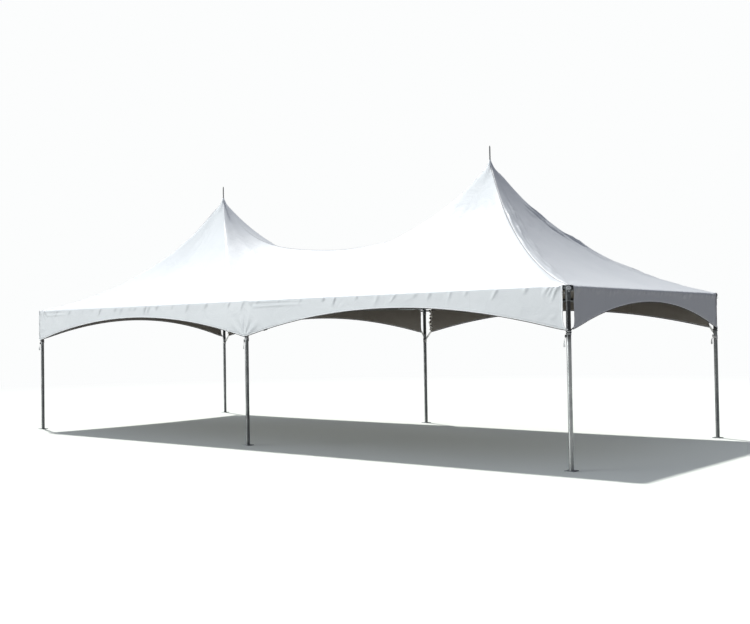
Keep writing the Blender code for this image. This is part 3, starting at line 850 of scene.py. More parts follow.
def lip_point(foot, turn, low=None):
    """A point beyond the eave: round the tube's shoulder and tucked down behind the skirt."""
    x, y = foot.x, foot.y
    past_x, past_y = abs(x) > RUN_L - 1e-6, abs(y) > RUN_W - 1e-6
    skirt, walk = skirt_under(x, y)
    out, up = over_eave(turn, 0.0 if past_x and past_y else to_leg(SKIRTS[skirt][0], walk))
    if past_x:
        x = math.copysign(HALF_L + out, x)
    if past_y:
        y = math.copysign(HALF_W + out, y)
    return Vector((x, y, TUBE_Z + up if low is None else low))


def in_lip(vert, foot):
    """False near a corner leg, where the lip is cut away so that the crown shows."""
    skirt, walk = skirt_under(foot.x, foot.y)
    face, start, end, first, last, *_ = SKIRTS[skirt]
    if face == ("y", 1):
        return abs(walk) < HALF_L - LIP_GAP
    return start + first - 0.02 < walk < end - last


print(len(spokes()), "spokes in each bay and", RINGS, "rings")

# %% [markdown]
# With every point known, the mesh is grown. Each step extrudes the outer edges and lays their new vertices
# on the form. The sheet then gets a map of the flat cloth, which its material follows, and a real wall.

# %% Canopy mesh
CLOTH_FALL = 1.15                              # metres of cloth down the slope for a metre in plan
SHEET_T = 0.0015                               # the cloth's real thickness


def grow_canopy(bm, side):
    """Grow one bay's cloth from the collar to the eave, then its lip."""
    ends = spokes()
    made = bmesh.ops.create_circle(bm, cap_ends=False, segments=len(ends), radius=COLLAR_R)
    ring = made["verts"]
    edges = [bm.edges.get((ring[i], ring[(i + 1) % len(ring)])) for i in range(len(ring))]
    for vert, end in zip(ring, ends):
        vert.co = canopy_point(side, end, COLLAR_SHARE)
    for count in range(1, RINGS + 1):
        step = count / RINGS
        spread = 0.5 * step ** 1.3 + 0.25 * (1 - math.cos(math.pi * step))
        share = COLLAR_SHARE + (1 - COLLAR_SHARE) * spread
        ring, edges = grow_ring(bm, ring, edges, [canopy_point(side, end, share) for end in ends])
    live = [edge for edge in edges if any(abs(vert.co.x) > 1e-6 for vert in edge.verts)]
    bmesh.ops.subdivide_edges(bm, edges=live, cuts=1)
    feet = {vert: vert.co.copy() for vert in bm.verts
            if (abs(vert.co.x) > RUN_L - 1e-6 or abs(vert.co.y) > RUN_W - 1e-6) and vert.co.x * side > -1e-6}
    live = [edge for edge in bm.edges if edge.is_boundary and edge.verts[0] in feet and edge.verts[1] in feet]
    for turn in TURNS:
        if turn > math.radians(60):            # from here down the corners stay open
            live = [edge for edge in live if in_lip(edge.verts[0], feet[edge.verts[0]])
                    and in_lip(edge.verts[1], feet[edge.verts[1]])]
        live, feet = grow_lip(bm, live, feet, lambda foot: lip_point(foot, turn))
    grow_lip(bm, live, feet, lambda foot: lip_point(foot, math.pi / 2, TUCK))


def grow_lip(bm, live, feet, place_at):
    """Extrude an open run of edges and place its new vertices by where each one's foot is on the eave."""
    made = bmesh.ops.extrude_edge_only(bm, edges=live)["geom"]
    known = {}
    for vert in (item for item in made if isinstance(item, bmesh.types.BMVert)):
        partner = next(edge.other_vert(vert) for edge in vert.link_edges if edge.other_vert(vert) in feet)
        known[vert] = feet[partner]
    for vert, foot in known.items():
        vert.co = place_at(foot)
    return [item for item in made if isinstance(item, bmesh.types.BMEdge)
            and item.verts[0] in known and item.verts[1] in known], known


def grow_ring(bm, ring, edges, spots):
    """Extrude a whole ring outwards and lay it on new spots."""
    made = bmesh.ops.extrude_edge_only(bm, edges=edges)["geom"]
    fresh = {item for item in made if isinstance(item, bmesh.types.BMVert)}
    outer = [next(edge.other_vert(vert) for edge in vert.link_edges if edge.other_vert(vert) in fresh)
             for vert in ring]
    for vert, spot in zip(outer, spots):
        vert.co = spot
    return outer, [bm.edges.get((outer[i], outer[(i + 1) % len(outer)])) for i in range(len(outer))]


def chart_cloth(bm, pick):
    """Give every corner of every face its place on the flat cloth, in metres."""
    layer = bm.loops.layers.uv.new("cloth")
    for face in bm.faces:
        centre = face.calc_center_median()
        for loop in face.loops:
            loop[layer].uv = pick(loop.vert.co, centre)


def face_outwards(bm, outwards):
    """Make the faces agree, with their fronts to the outside of the tent."""
    bmesh.ops.recalc_face_normals(bm, faces=bm.faces)
    bm.normal_update()
    if sum(face.normal.dot(outwards) for face in bm.faces) < 0:
        bmesh.ops.reverse_faces(bm, faces=bm.faces)


def canopy_chart(spot, centre):
    """Breadths run up the slope, so the map's first axis follows the nearest eave."""
    along = (abs(centre.x) - MAST_X) / (RUN_L - MAST_X)
    gable = along > abs(centre.y) / RUN_W
    if gable:
        return spot.y, (RUN_L - abs(spot.x)) * CLOTH_FALL
    return spot.x, (RUN_W - abs(spot.y)) * CLOTH_FALL


bm = bmesh.new()
for side in BAYS.values():
    grow_canopy(bm, side)
bmesh.ops.remove_doubles(bm, verts=bm.verts, dist=1e-5)
face_outwards(bm, UP)
chart_cloth(bm, canopy_chart)
canopy = hand_over("canopy_sheet", bm, "canvas", outer_cloth, inner_cloth_painted_shade, angle=60)


def thicken(piece, thickness):
    """Real wall for a sheet: the outer face stays, and the inner one gets the second material."""
    wall = piece.modifiers.new("wall", "SOLIDIFY")
    wall.thickness = thickness
    wall.offset = -1.0
    wall.material_offset = 1
    wall.use_even_offset = False
    wall.use_quality_normals = True


thicken(canopy, SHEET_T)
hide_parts("roof_canopy")
print("canopy:", triangles(canopy), "triangles")

# %% [markdown]
# ## The skirts
#
# Narrow tape carries the pull in the skirts: as webbing under their hems, from leg to leg, and as the
# straps that tie them. It is woven with ribs across it. The material draws them as a wave, coarser than
# they are, and takes its two tones and its relief from that wave.

# %% Webbing material


def webbing_material(name, base, ridge, spacing):
    """Woven narrow tape with ribs across it."""
    material, tree, shader = start_material(name, 0.75)
    place = add_node(tree, "ShaderNodeTexCoord")
    ribs = add_node(tree, "ShaderNodeTexWave", {"Vector": place.outputs["Object"]},
                    {"Scale": math.pi / (10 * spacing), "Distortion": 0.6, "Detail": 2.0,
                     "Detail Scale": 3.0},
                    wave_type="BANDS", bands_direction="DIAGONAL")
    tone = add_node(tree, "ShaderNodeMix", {"Factor": ribs.outputs["Fac"]},
                    {"A": colour(base), "B": colour(ridge)}, data_type="RGBA")
    give_surface(tree, shader, tone.outputs["Result"], ribs.outputs["Fac"], 0.5, 0.0006)
    return material


dark_webbing = webbing_material("polyester_webbing_dark", "#2E2F31", "#3D3F41", 0.004)
pale_webbing = webbing_material("polyester_webbing_white", "#E2E4E3", "#F2F4F3", 0.004)
print("webbing:", dark_webbing.name, pale_webbing.name)

# %% [markdown]
# Webbing, bindings and straps are flat or oval sections swept along a path. A sweep wants a frame at each
# spot of its path: the spot, the direction across the tape, and the direction out of it. The path's own
# direction is taken from the spots before and after.

# %% Sweep helpers


def strip(width, thickness):
    """A flat section."""
    return [(a * width, b * thickness) for a, b in ((-0.5, -0.5), (0.5, -0.5), (0.5, 0.5), (-0.5, 0.5))]


def rounded(width, depth, count=8):
    """An oval section."""
    turns = [2 * math.pi * (step + 0.5) / count for step in range(count)]
    return [(0.5 * width * math.cos(turn), 0.5 * depth * math.sin(turn)) for turn in turns]


def tape_frames(path):
    """Frames along a path of spots, each with the direction that the tape faces there."""
    frames = []
    for index, (spot, out) in enumerate(path):
        tangent = (path[min(index + 1, len(path) - 1)][0] - path[max(index - 1, 0)][0]).normalized()
        across = tangent.cross(out).normalized()
        frames.append((spot, across, across.cross(tangent).normalized()))
    return frames


def path_frames(spots, out):
    """Frames along a path that faces one way all along."""
    return tape_frames([(spot, out) for spot in spots])


print("a tape's section:", strip(0.025, 0.002))

# %% [markdown]
# Each skirt is a grid whose columns run from the eave's shoulder down to the hem. Its hem is turned up over
# a webbing and bound, so it ends in a rounded white edge, and the dark webbing shows as a thin line below
# it: the webbing is real, and its dark tone is painted shade for the line of shade under the hem. Both are
# swept along the hem. The webbing carries the pull from leg to leg, which keeps the arch in shape. The
# sides are bound too, and their bindings curl where they have shrunk.

# %% Valance sheets
COLUMN_STEP = 0.0145
ROLL_ROWS, ROWS_DOWN = 4, 21                   # rows of the grid on the eave's shoulder and below it
HEM_W, HEM_D = 0.0170, 0.0092                  # the bound hem's section
SIDE_W, SIDE_D = 0.0210, 0.0068                # the same for the side bindings
SIDE_STEPS = 40
TAPE_DROP, TAPE_BACK = 0.0085, 0.0014          # the webbing's place below the hem and behind its face
TAB_FROM, TAB_TO = 0.45, 0.57                  # a tab of webbing is sewn on here, right of the middle leg


def skirt_grid(skirt, columns):
    """A grid laid on the skirt's form."""
    bm = bmesh.new()
    bmesh.ops.create_grid(bm, x_segments=columns, y_segments=ROLL_ROWS + ROWS_DOWN, size=0.5)
    for vert in bm.verts:
        row = round((0.5 - vert.co.y) * (ROLL_ROWS + ROWS_DOWN)) - ROLL_ROWS
        vert.co = skirt_spot(skirt, vert.co.x + 0.5, row / (ROLL_ROWS if row < 0 else ROWS_DOWN))
    return bm


def side_path(skirt, across, outwards):
    """The curling path of the binding down one side of a skirt."""
    face, start, *_ = SKIRTS[skirt]
    path = []
    for step in range(1 - ROLL_ROWS, SIDE_STEPS + 1):
        spot = skirt_spot(skirt, across, step / (ROLL_ROWS if step < 0 else SIDE_STEPS), 0.0010)
        curl = ripple(spot.z * 15, 5 * across + start) * ease((spot.z - KNEE) / 0.10)
        aside = hang(face, 0.005 * curl, 0, 0) - hang(face, 0, 0, 0)
        path.append(spot + outwards * (0.0020 + 0.0060 * curl) + aside)
    return path


skirts, hems = {}, {}
for skirt, (face, start, end, *_) in SKIRTS.items():
    columns = round((end - start) / COLUMN_STEP / 2) * 2
    outwards = hang(face, 0, 1, 0) - hang(face, 0, 0, 0)
    bm = skirt_grid(skirt, columns)
    face_outwards(bm, outwards)
    along = 0 if face[0] == "y" else 1
    chart_cloth(bm, lambda spot, centre: (spot[along], EAVE - spot.z))
    skirts[skirt] = hand_over(f"{skirt}_sheet", bm, "canvas", outer_cloth, inner_cloth_painted_shade, angle=60)
    thicken(skirts[skirt], SHEET_T)
    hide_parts(skirt)

    steps = columns // 2
    spots = [skirt_spot(skirt, step / steps, 1.0, -0.0002) for step in range(steps + 1)]
    bm = bmesh.new()
    add_swept(bm, rounded(HEM_W, HEM_D), path_frames(spots, outwards))
    for across in (0.0, 1.0):
        add_swept(bm, rounded(SIDE_W, SIDE_D), path_frames(side_path(skirt, across, outwards), outwards))
    hem = new_piece(f"{skirt}_hem", bm, "canvas", binding_cloth_painted_highlight)

    # the webbing's dark tone is painted shade, drawing the line of shade under the hem
    bm = bmesh.new()
    lower = [spot + DOWN * TAPE_DROP - outwards * TAPE_BACK for spot in spots]
    add_swept(bm, strip(0.018, 0.0020), path_frames(lower, outwards))
    if skirt == "valance_front":
        tab = [spot + DOWN * 0.013 + outwards * TAPE_BACK for spot in spots if TAB_FROM < spot.x < TAB_TO]
        add_swept(bm, strip(0.030, 0.0026), path_frames(tab, outwards))
    tape = new_piece(f"{skirt}_webbing", bm, "canvas", dark_webbing)
    hems[skirt] = [hem, tape]
    print(skirt, triangles(skirts[skirt]), "triangles, hem", triangles(hem) + triangles(tape))

# %% [markdown]
# At the back, one edge of each skirt has torn loose from its binding. It hangs beside the leg as a narrow
# ruffled flap with dark specks, painted shade where its curls would turn their dim side out, and light
# shines through it. A narrow webbing ties the two edges together across the leg.

# %% Back flaps and cords
FLAP_TOP, FLAP_DROP, FLAP_T = 2.325, 0.45, 0.0009
CORD_Z, CORD_W, CORD_T = 2.297, 0.030, 0.0022
# how far a cord reaches to the left and the right of its leg
CORDS = {"mid": (0.150, 0.175), "left": (0.0, 0.175), "right": (0.150, 0.0)}

torn_cloth, tree, shader = start_material("pvc_cloth_single_layer_translucent", 0.5)
place = add_node(tree, "ShaderNodeTexCoord")
# white cloth with dark specks of painted shade for the flap's curls
speck_noise = add_node(tree, "ShaderNodeTexNoise", {"Vector": place.outputs["Object"]},
                {"Scale": 24.0, "Detail": 1.0})
shade_specks = add_node(tree, "ShaderNodeMapRange", {"Value": speck_noise.outputs["Fac"]},
                  {"From Min": 0.53, "From Max": 0.58})
through = add_node(tree, "ShaderNodeMix", {"Factor": shade_specks.outputs["Result"]},
                   {"A": colour("#FFFDF8"), "B": colour("#5C574F")}, data_type="RGBA")
tree.links.new(through.outputs["Result"], shader.inputs["Base Color"])


def let_light_through(tree, share):
    """Mix in the light that reaches a thin cloth from its far side."""
    shader = tree.nodes["Principled BSDF"]
    tone = shader.inputs["Base Color"].links[0].from_socket
    glow = add_node(tree, "ShaderNodeBsdfTranslucent", {"Color": tone})
    both = add_node(tree, "ShaderNodeMixShader", {1: shader.outputs[0], 2: glow.outputs[0]}, {0: share})
    tree.links.new(both.outputs[0], tree.nodes["Material Output"].inputs["Surface"])


let_light_through(tree, 0.40)

for skirt in ("valance_back_left", "valance_back_right"):
    face, start, _, first, *_ = SKIRTS[skirt]
    bm = bmesh.new()
    bmesh.ops.create_grid(bm, x_segments=8, y_segments=60, size=0.5)
    for vert in bm.verts:
        share, z = vert.co.x + 0.5, FLAP_TOP - (0.5 - vert.co.y) * FLAP_DROP
        reach = (0.072 + 0.050 * ripple(z * 11, start + 2)) * share
        wave = math.sin(z * 2 * math.pi / 0.075 + share * 1.8 + 3 * ripple(z * 5, start))
        vert.co = hang(face, start + first + 0.006 - reach, 0.0400 + 0.016 * wave * share, z)
    flap = new_piece(f"{skirt}_flap", bm, "canvas", torn_cloth, angle=60)
    thicken(flap, FLAP_T)
    hems[skirt].append(flap)

cords = bmesh.new()
for column, (to_left, to_right) in CORDS.items():
    walk = COLUMNS[column] - to_left
    spots = [hang(("y", 1), walk + (to_left + to_right) * step / 12, 0.0450 + 0.001 * math.sin(step), CORD_Z)
             for step in range(13)]
    add_swept(cords, strip(CORD_W, CORD_T), path_frames(spots, Vector((0, 1, 0))))
cords = new_piece("skirt_cords", cords, "canvas", dark_webbing)
print("flaps:", [triangles(hems[skirt][-1]) for skirt in ("valance_back_left", "valance_back_right")],
      "cords:", triangles(cords))

# %% [markdown]
# ## Straps at the legs
#
# Each tail ends in webbing that goes round its leg a turn or two and is pulled tight through a small cam
# buckle, whose free end hangs down. At the back the tails stop short of the leg, so their straps slant down
# to it, and light shines through them. A strap's path is a straight run to the leg and then a helix. The
# tape is swept along it and lies flat on the tube.

# %% Strap helpers
TAPE_W, TAPE_T = 0.025, 0.0018
TAPE_PITCH = 0.030                             # a strap climbs down so far in one turn
thin_webbing = webbing_material("polyester_webbing_white_thin", "#F6F6F3", "#FFFFFF", 0.004)
let_light_through(thin_webbing.node_tree, 0.45)


def leg_at(column, row):
    return Vector((COLUMNS[column], ROWS[row], 0.0))


def tie_path(leg, spot, heading, drop, turns, clear):
    """Spots and outward directions from a tail to its leg and then round it."""
    arm = Vector((spot.x - leg.x, spot.y - leg.y, 0.0))
    spin = 1.0 if arm.x * heading.y - arm.y * heading.x > 0 else -1.0
    radius = TUBE_R + clear
    touch = math.atan2(arm.y, arm.x) + spin * math.acos(min(radius / arm.length, 1.0))
    out = heading_at(touch)
    landing = leg + out * radius + UP * (spot.z - drop)
    path = [(spot.lerp(landing, step / 5), out) for step in range(5)]
    count = round(turns * 20)
    for step in range(count + 1):
        out = heading_at(touch + spin * 2 * math.pi * turns * step / count)
        path.append((leg + out * radius + UP * (landing.z - TAPE_PITCH * turns * step / count), out))
    return path


def add_box(bm, size, place, soften):
    """A block with softened edges."""
    made = bmesh.ops.create_cube(bm, size=1.0)["verts"]
    bmesh.ops.scale(bm, verts=made, vec=size)
    bmesh.ops.transform(bm, matrix=place, verts=made)
    edges = list({edge for vert in made for edge in vert.link_edges})
    bmesh.ops.bevel(bm, geom=edges, offset=soften, offset_type="OFFSET", segments=2, profile=0.5,
                    affect="EDGES", material=-1, clamp_overlap=True)
    mark_done(bm)


def add_bar(bm, start, end, radius, sides=12):
    """A round bar between two points."""
    line = end - start
    bmesh.ops.create_cone(bm, cap_ends=True, segments=sides, radius1=radius, radius2=radius,
                          depth=line.length, matrix=aim((start + end) / 2, line))
    mark_done(bm)


def strap_end(buckle_bm, tape_bm, leg, angle, z, length):
    """A cam buckle standing on the leg, and the free end of the tape below it."""
    out = heading_at(angle)
    side = Vector((-out.y, out.x, 0.0))
    centre = leg + out * (TUBE_R + 0.0100) + UP * z
    turn = axes_matrix(side, out, UP)
    for shift in (-0.0155, 0.0155):            # its cheeks
        add_box(buckle_bm, (0.0026, 0.0130, 0.0360), Matrix.Translation(centre + side * shift) @ turn, 0.0009)
    add_box(buckle_bm, (0.0290, 0.0024, 0.0340), Matrix.Translation(centre - out * 0.0050) @ turn, 0.0008)
    lever = Matrix.Translation(centre + out * 0.0062 + UP * 0.004) @ turn @ Matrix.Rotation(0.22, 4, "X")
    add_box(buckle_bm, (0.0270, 0.0036, 0.0300), lever, 0.0014)
    for height in (-0.0130, 0.0100):           # its pins
        spot = centre + UP * height
        add_bar(buckle_bm, spot - side * 0.0170, spot + side * 0.0170, 0.0022, 10)
    path = []
    for step in range(15):
        share = step / 14
        away = 0.0015 + 0.010 * share + 0.012 * math.sin(share * 2.6)
        spot = centre + out * away + side * (0.006 * math.sin(share * 3.0)) - UP * (0.012 + length * share)
        path.append((spot, Matrix.Rotation(1.6 * share, 3, "Z") @ out))
    add_swept(tape_bm, strip(TAPE_W, TAPE_T), tape_frames(path))


print("a strap is", TAPE_W * 1000, "mm wide and", TAPE_T * 1000, "mm thick")

# %% [markdown]
# Every end of a skirt gets a strap. The front ones are white; the gables' are narrow and dark, painted
# shade for the tent's shaded ends; the back ones are broad and thin. After them each leg gets a buckle.

# %% Straps and buckles
pale_bm, thin_bm, dark_bm, buckle_bm = (bmesh.new() for _ in range(4))
TIES = {                                       # mesh, drop on the way to the leg, turns, clearance, width
    "front": (pale_bm, 0.030, 1.7, 0.0026, TAPE_W),
    "back": (thin_bm, 0.165, 1.4, 0.0026, 0.036),
    # the gables' straps are cut from the dark webbing: painted shade
    "gable": (dark_bm, 0.030, 1.7, 0.0052, 0.016),
}
for skirt, (face, start, end, *_) in SKIRTS.items():
    tie_bm, drop, turns, clear, width = TIES[skirt.split("_")[1]]
    for across, leg_walk in ((0.0, start), (1.0, end)):
        spot = skirt_spot(skirt, across, 1.0, -0.0005) + UP * 0.006
        leg = hang(face, leg_walk, 0.0, 0.0)
        heading = Vector((leg.x - spot.x, leg.y - spot.y, 0.0))
        heading[1 if face[0] == "y" else 0] = 0.0
        path = tie_path(leg, spot, heading, drop, turns, clear)
        add_swept(tie_bm, strip(width, TAPE_T), tape_frames(path))

# across the front the hem runs on past the middle leg, so its strap starts behind the hem's lowest point
leg = leg_at("mid", "front")
for spin, drop, clear in ((1, 0.016, 0.0030), (-1, 0.046, 0.0056)):
    low = skirt_spot("valance_front", 0.5, 1.0, -0.0030)
    spot = Vector((0.020 * -spin, low.y, low.z + 0.010))
    path = tie_path(leg, spot, Vector((spin, 0, 0)), drop, 1.6, clear)
    add_swept(pale_bm, strip(TAPE_W + 0.004, TAPE_T), tape_frames(path))

# each buckle's direction round its leg, where it isn't towards the tent's middle, and its height
BUCKLE_TURN = {("left", "front"): -2.45, ("mid", "front"): -2.90, ("right", "front"): -2.90,
               ("mid", "back"): -1.30}
BUCKLE_Z = {("left", "back"): 1.716, ("mid", "back"): 1.712, ("right", "back"): 1.716}
FRONT_BUCKLE_Z = 1.762
for column in COLUMNS:
    for row in ROWS:
        toward = BUCKLE_TURN.get((column, row), math.atan2(-ROWS[row], -COLUMNS[column]))
        z = BUCKLE_Z.get((column, row), FRONT_BUCKLE_Z)
        length = 0.13 + 0.02 * ripple(COLUMNS[column], 3.0)
        strap_end(buckle_bm, pale_bm, leg_at(column, row), toward, z, length)
straps = new_piece("leg_straps", pale_bm, "canvas", pale_webbing)
back_straps = new_piece("back_straps", thin_bm, "canvas", thin_webbing)
shaded_gable_straps = new_piece("gable_straps_painted_shade", dark_bm, "canvas", dark_webbing)
print("straps:", triangles(straps), triangles(back_straps), triangles(shaded_gable_straps), "triangles")

# %% [markdown]
# ## Metals
#
# The metals in the frame are told apart by how they were made. The tubes are extruded aluminium. The die
# leaves fine lines along their length, and an oxide dulls them in patches. So the material has one noise
# that is drawn out along the tube's axis, and another that isn't.

# %% Tube metal


def tube_material(name, axis, base, dull, roughness):
    """Extruded aluminium: streaks drawn long along one axis, and a drift of oxide."""
    material, tree, shader = start_material(name, roughness, 1.0)
    place = add_node(tree, "ShaderNodeTexCoord")
    stretch = [90.0, 90.0, 90.0]
    stretch[axis] = 1.2
    lines = add_node(tree, "ShaderNodeVectorMath", {0: place.outputs["Object"]},
                     {1: stretch}, operation="MULTIPLY")
    streaks = add_node(tree, "ShaderNodeTexNoise", {"Vector": lines.outputs[0]},
                       {"Scale": 1.0, "Detail": 3.0})
    oxide = add_node(tree, "ShaderNodeTexNoise", {"Vector": place.outputs["Object"]},
                     {"Scale": 7.0, "Detail": 5.0, "Roughness": 0.65})
    both = add_node(tree, "ShaderNodeMath", {0: streaks.outputs["Fac"], 1: oxide.outputs["Fac"]},
                    operation="MULTIPLY")
    amount = add_node(tree, "ShaderNodeMapRange", {"Value": both.outputs[0]},
                      {"From Min": 0.14, "From Max": 0.42})
    tone = add_node(tree, "ShaderNodeMix", {"Factor": amount.outputs["Result"]},
                    {"A": colour(dull), "B": colour(base)}, data_type="RGBA")
    gloss = add_node(tree, "ShaderNodeMapRange", {"Value": oxide.outputs["Fac"]},
                     {"From Min": 0.3, "From Max": 0.7,
                      "To Min": roughness + 0.10, "To Max": roughness - 0.06})
    tree.links.new(gloss.outputs["Result"], shader.inputs["Roughness"])
    give_surface(tree, shader, tone.outputs["Result"], streaks.outputs["Fac"], 0.25, 0.0004)
    return material, tree, shader, tone


ALUMINIUM, OXIDE = "#7E7F80", "#5A5C5D"
tubes_by_axis = [tube_material(f"extruded_aluminium_{label}", axis, ALUMINIUM, OXIDE, 0.42)[0]
                 for axis, label in enumerate(("x", "y", "z"))]


print("tubes:", [material.name for material in tubes_by_axis])

# %% [markdown]
# The crowns and plates are steel dipped in molten zinc, which cools in large soft-edged crystals of
# slightly different greys. Bolts and buckles are zinc plated, with an even, brighter skin. Both are the
# same cells of noise, with their two greys far apart or close together.

# %% Zinc-coated metals


def galvanised_material(name, base, pale, roughness):
    """Hot dip zinc: crystals about 12 mm across, from their own greys, with soft edges."""
    material, tree, shader = start_material(name, roughness, 1.0)
    place = add_node(tree, "ShaderNodeTexCoord")
    wobble = add_node(tree, "ShaderNodeTexNoise", {"Vector": place.outputs["Object"]},
                      {"Scale": 60.0, "Detail": 2.0})
    shifted = add_node(tree, "ShaderNodeMix", {"A": place.outputs["Object"], "B": wobble.outputs["Color"]},
                       {"Factor": 0.012}, data_type="VECTOR")
    grains = add_node(tree, "ShaderNodeTexVoronoi", {"Vector": shifted.outputs["Result"]}, {"Scale": 85.0},
                      feature="SMOOTH_F1")
    grey = add_node(tree, "ShaderNodeSeparateColor", {0: grains.outputs["Color"]})
    tone = add_node(tree, "ShaderNodeMix", {"Factor": grey.outputs[0]},
                    {"A": colour(base), "B": colour(pale)}, data_type="RGBA")
    gloss = add_node(tree, "ShaderNodeMapRange", {"Value": grey.outputs[1]},
                     {"To Min": roughness - 0.08, "To Max": roughness + 0.14})
    tree.links.new(gloss.outputs["Result"], shader.inputs["Roughness"])
    rough = add_node(tree, "ShaderNodeTexNoise", {"Vector": place.outputs["Object"]},
                     {"Scale": 220.0, "Detail": 3.0})
    give_surface(tree, shader, tone.outputs["Result"], rough.outputs["Fac"], 0.35, 0.0005)
    return material


galvanised = galvanised_material("hot_dip_galvanised_steel", "#6B6E70", "#929598", 0.46)
# the crowns get a darker copy of the zinc: painted shade for the shaded corners they sit in
galvanised_painted_shade = galvanised_material("galvanised_steel_painted_shade", "#3F4143", "#5E6062", 0.50)
plated = galvanised_material("zinc_plated_steel", "#B4B7BA", "#BFC2C4", 0.28)
blackened = galvanised_material("black_zinc_plated_steel", "#3A3B3D", "#47484A", 0.42)
new_piece("cam_buckles", buckle_bm, "fitting", blackened)


print("zinc:", galvanised.name, galvanised_painted_shade.name, plated.name, blackened.name)

# %% [markdown]
# The cables are strands twisted together, so light runs round them in a screw line. It is drawn as a sine
# of the turn round the rope's axis plus the way along it. The peak caps aren't metal: they are moulded from
# plasticised PVC like the cover's coating, as white but a little shinier.

# %% Rope and caps


def rope_material(name, start, end, base, groove):
    """Wire rope: strands drawn as stripes that turn about the rope's own axis once every 60 mm."""
    material, tree, shader = start_material(name, 0.36, 1.0)
    place = add_node(tree, "ShaderNodeTexCoord")
    turn = (end - start).to_track_quat("Z", "Y").to_matrix().inverted().to_euler()
    moved = add_node(tree, "ShaderNodeVectorMath", {0: place.outputs["Object"]},
                     {1: start}, operation="SUBTRACT")
    local = add_node(tree, "ShaderNodeVectorRotate", {"Vector": moved.outputs[0]}, {"Rotation": turn},
                     rotation_type="EULER_XYZ")
    axes = add_node(tree, "ShaderNodeSeparateXYZ", {0: local.outputs[0]})
    round_it = add_node(tree, "ShaderNodeMath", {0: axes.outputs["Y"], 1: axes.outputs["X"]},
                        operation="ARCTAN2")
    strands = add_node(tree, "ShaderNodeMath", {0: round_it.outputs[0]}, {1: 6.0}, operation="MULTIPLY")
    along = add_node(tree, "ShaderNodeMath", {0: axes.outputs["Z"]}, {1: 6 * 2 * math.pi / 0.060},
                     operation="MULTIPLY")
    phase = add_node(tree, "ShaderNodeMath", {0: strands.outputs[0], 1: along.outputs[0]}, operation="ADD")
    wave = add_node(tree, "ShaderNodeMath", {0: phase.outputs[0]}, operation="SINE")
    amount = add_node(tree, "ShaderNodeMapRange", {"Value": wave.outputs[0]},
                      {"From Min": -1.0, "From Max": 0.2})
    tone = add_node(tree, "ShaderNodeMix", {"Factor": amount.outputs["Result"]},
                    {"A": colour(groove), "B": colour(base)}, data_type="RGBA")
    give_surface(tree, shader, tone.outputs["Result"], wave.outputs[0], 0.7, 0.0008)
    return material


cap_white, tree, shader = start_material("moulded_white_pvc", 0.36)
place = add_node(tree, "ShaderNodeTexCoord")
cloud = add_node(tree, "ShaderNodeTexNoise", {"Vector": place.outputs["Object"]},
                 {"Scale": 22.0, "Detail": 4.0})
tone = add_node(tree, "ShaderNodeMix", {"Factor": cloud.outputs["Fac"]},
                {"A": colour("#F2F5F8"), "B": colour("#E3E8EC")}, data_type="RGBA")
tree.links.new(tone.outputs["Result"], shader.inputs["Base Color"])
print("caps:", cap_white.name)

# %% [markdown]
# The mast is one piece from foot to tip in the imported model. On the real tent its top is a thin steel
# spire, weathered dark, that stands in the aluminium tube. The legs' upper parts, between the skirts, are
# coloured nearly black: painted shade for the deep shade there. So both change their colour with height:
# the mast just above the canopy's collar, the legs where the skirts' tails end.

# %% Mast material and the nodes' finishes


def two_part_tube(name, height, fade, dark, dull, base=ALUMINIUM, oxide=OXIDE, roughness=0.42):
    """A tube that turns dark above a height."""
    material, tree, shader, tone = tube_material(name, 2, base, oxide, roughness)
    place = add_node(tree, "ShaderNodeTexCoord")
    axes = add_node(tree, "ShaderNodeSeparateXYZ", {0: place.outputs["Object"]})
    upper = add_node(tree, "ShaderNodeMapRange", {"Value": axes.outputs["Z"]},
                     {"From Min": height, "From Max": height + fade})
    # above the height: the spire's own dark tone on the mast, painted shade on the legs
    weather_and_shade_noise = add_node(tree, "ShaderNodeTexNoise", {"Vector": place.outputs["Object"]},
                       {"Scale": 40.0, "Detail": 4.0})
    stain_and_shade = add_node(tree, "ShaderNodeMix", {"Factor": weather_and_shade_noise.outputs["Fac"]},
                     {"A": colour(dark), "B": colour(dull)}, data_type="RGBA")
    skin = add_node(tree, "ShaderNodeMix", {"Factor": upper.outputs["Result"], "A": tone.outputs["Result"],
                                            "B": stain_and_shade.outputs["Result"]}, data_type="RGBA")
    tree.links.new(skin.outputs["Result"], shader.inputs["Base Color"])
    return material


mast_metal = two_part_tube("mast_aluminium_with_dark_spire", PEAK - 0.10, 0.01, "#4A4B4C", "#6B6C6D")
# the legs' tops are painted shade, nearly black from the skirts' tails up
leg_metal = two_part_tube("leg_aluminium_painted_shade_at_top", 1.79, 0.05, "#2B2C2D", "#434445")
# the front right leg gets a lighter, glossier copy of the leg metal: a painted highlight, so one side glints
leg_metal_painted_highlight = two_part_tube("leg_aluminium_painted_highlight", 1.66, 0.12, "#2B2C2D", "#434445", "#A4A5A6", "#7E8081",
                              0.30)


def finish_node(node, material):
    """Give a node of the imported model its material."""
    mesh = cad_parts[node].data
    mesh.materials.clear()
    mesh.materials.append(material)


# by how the nodes' names begin; the first that fits counts
FINISHES = {"leg_front_right": leg_metal_painted_highlight, "leg": leg_metal, "eave_tube_gable": tubes_by_axis[1],
            "cross_tube": tubes_by_axis[1], "eave_tube": tubes_by_axis[0], "crown": galvanised_painted_shade,
            "mast_foot": galvanised, "base_plate": galvanised, "mast": mast_metal, "peak_cap": cap_white}
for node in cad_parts:
    material = next((FINISHES[start] for start in FINISHES if node.startswith(start)), None)
    if material:
        finish_node(node, material)

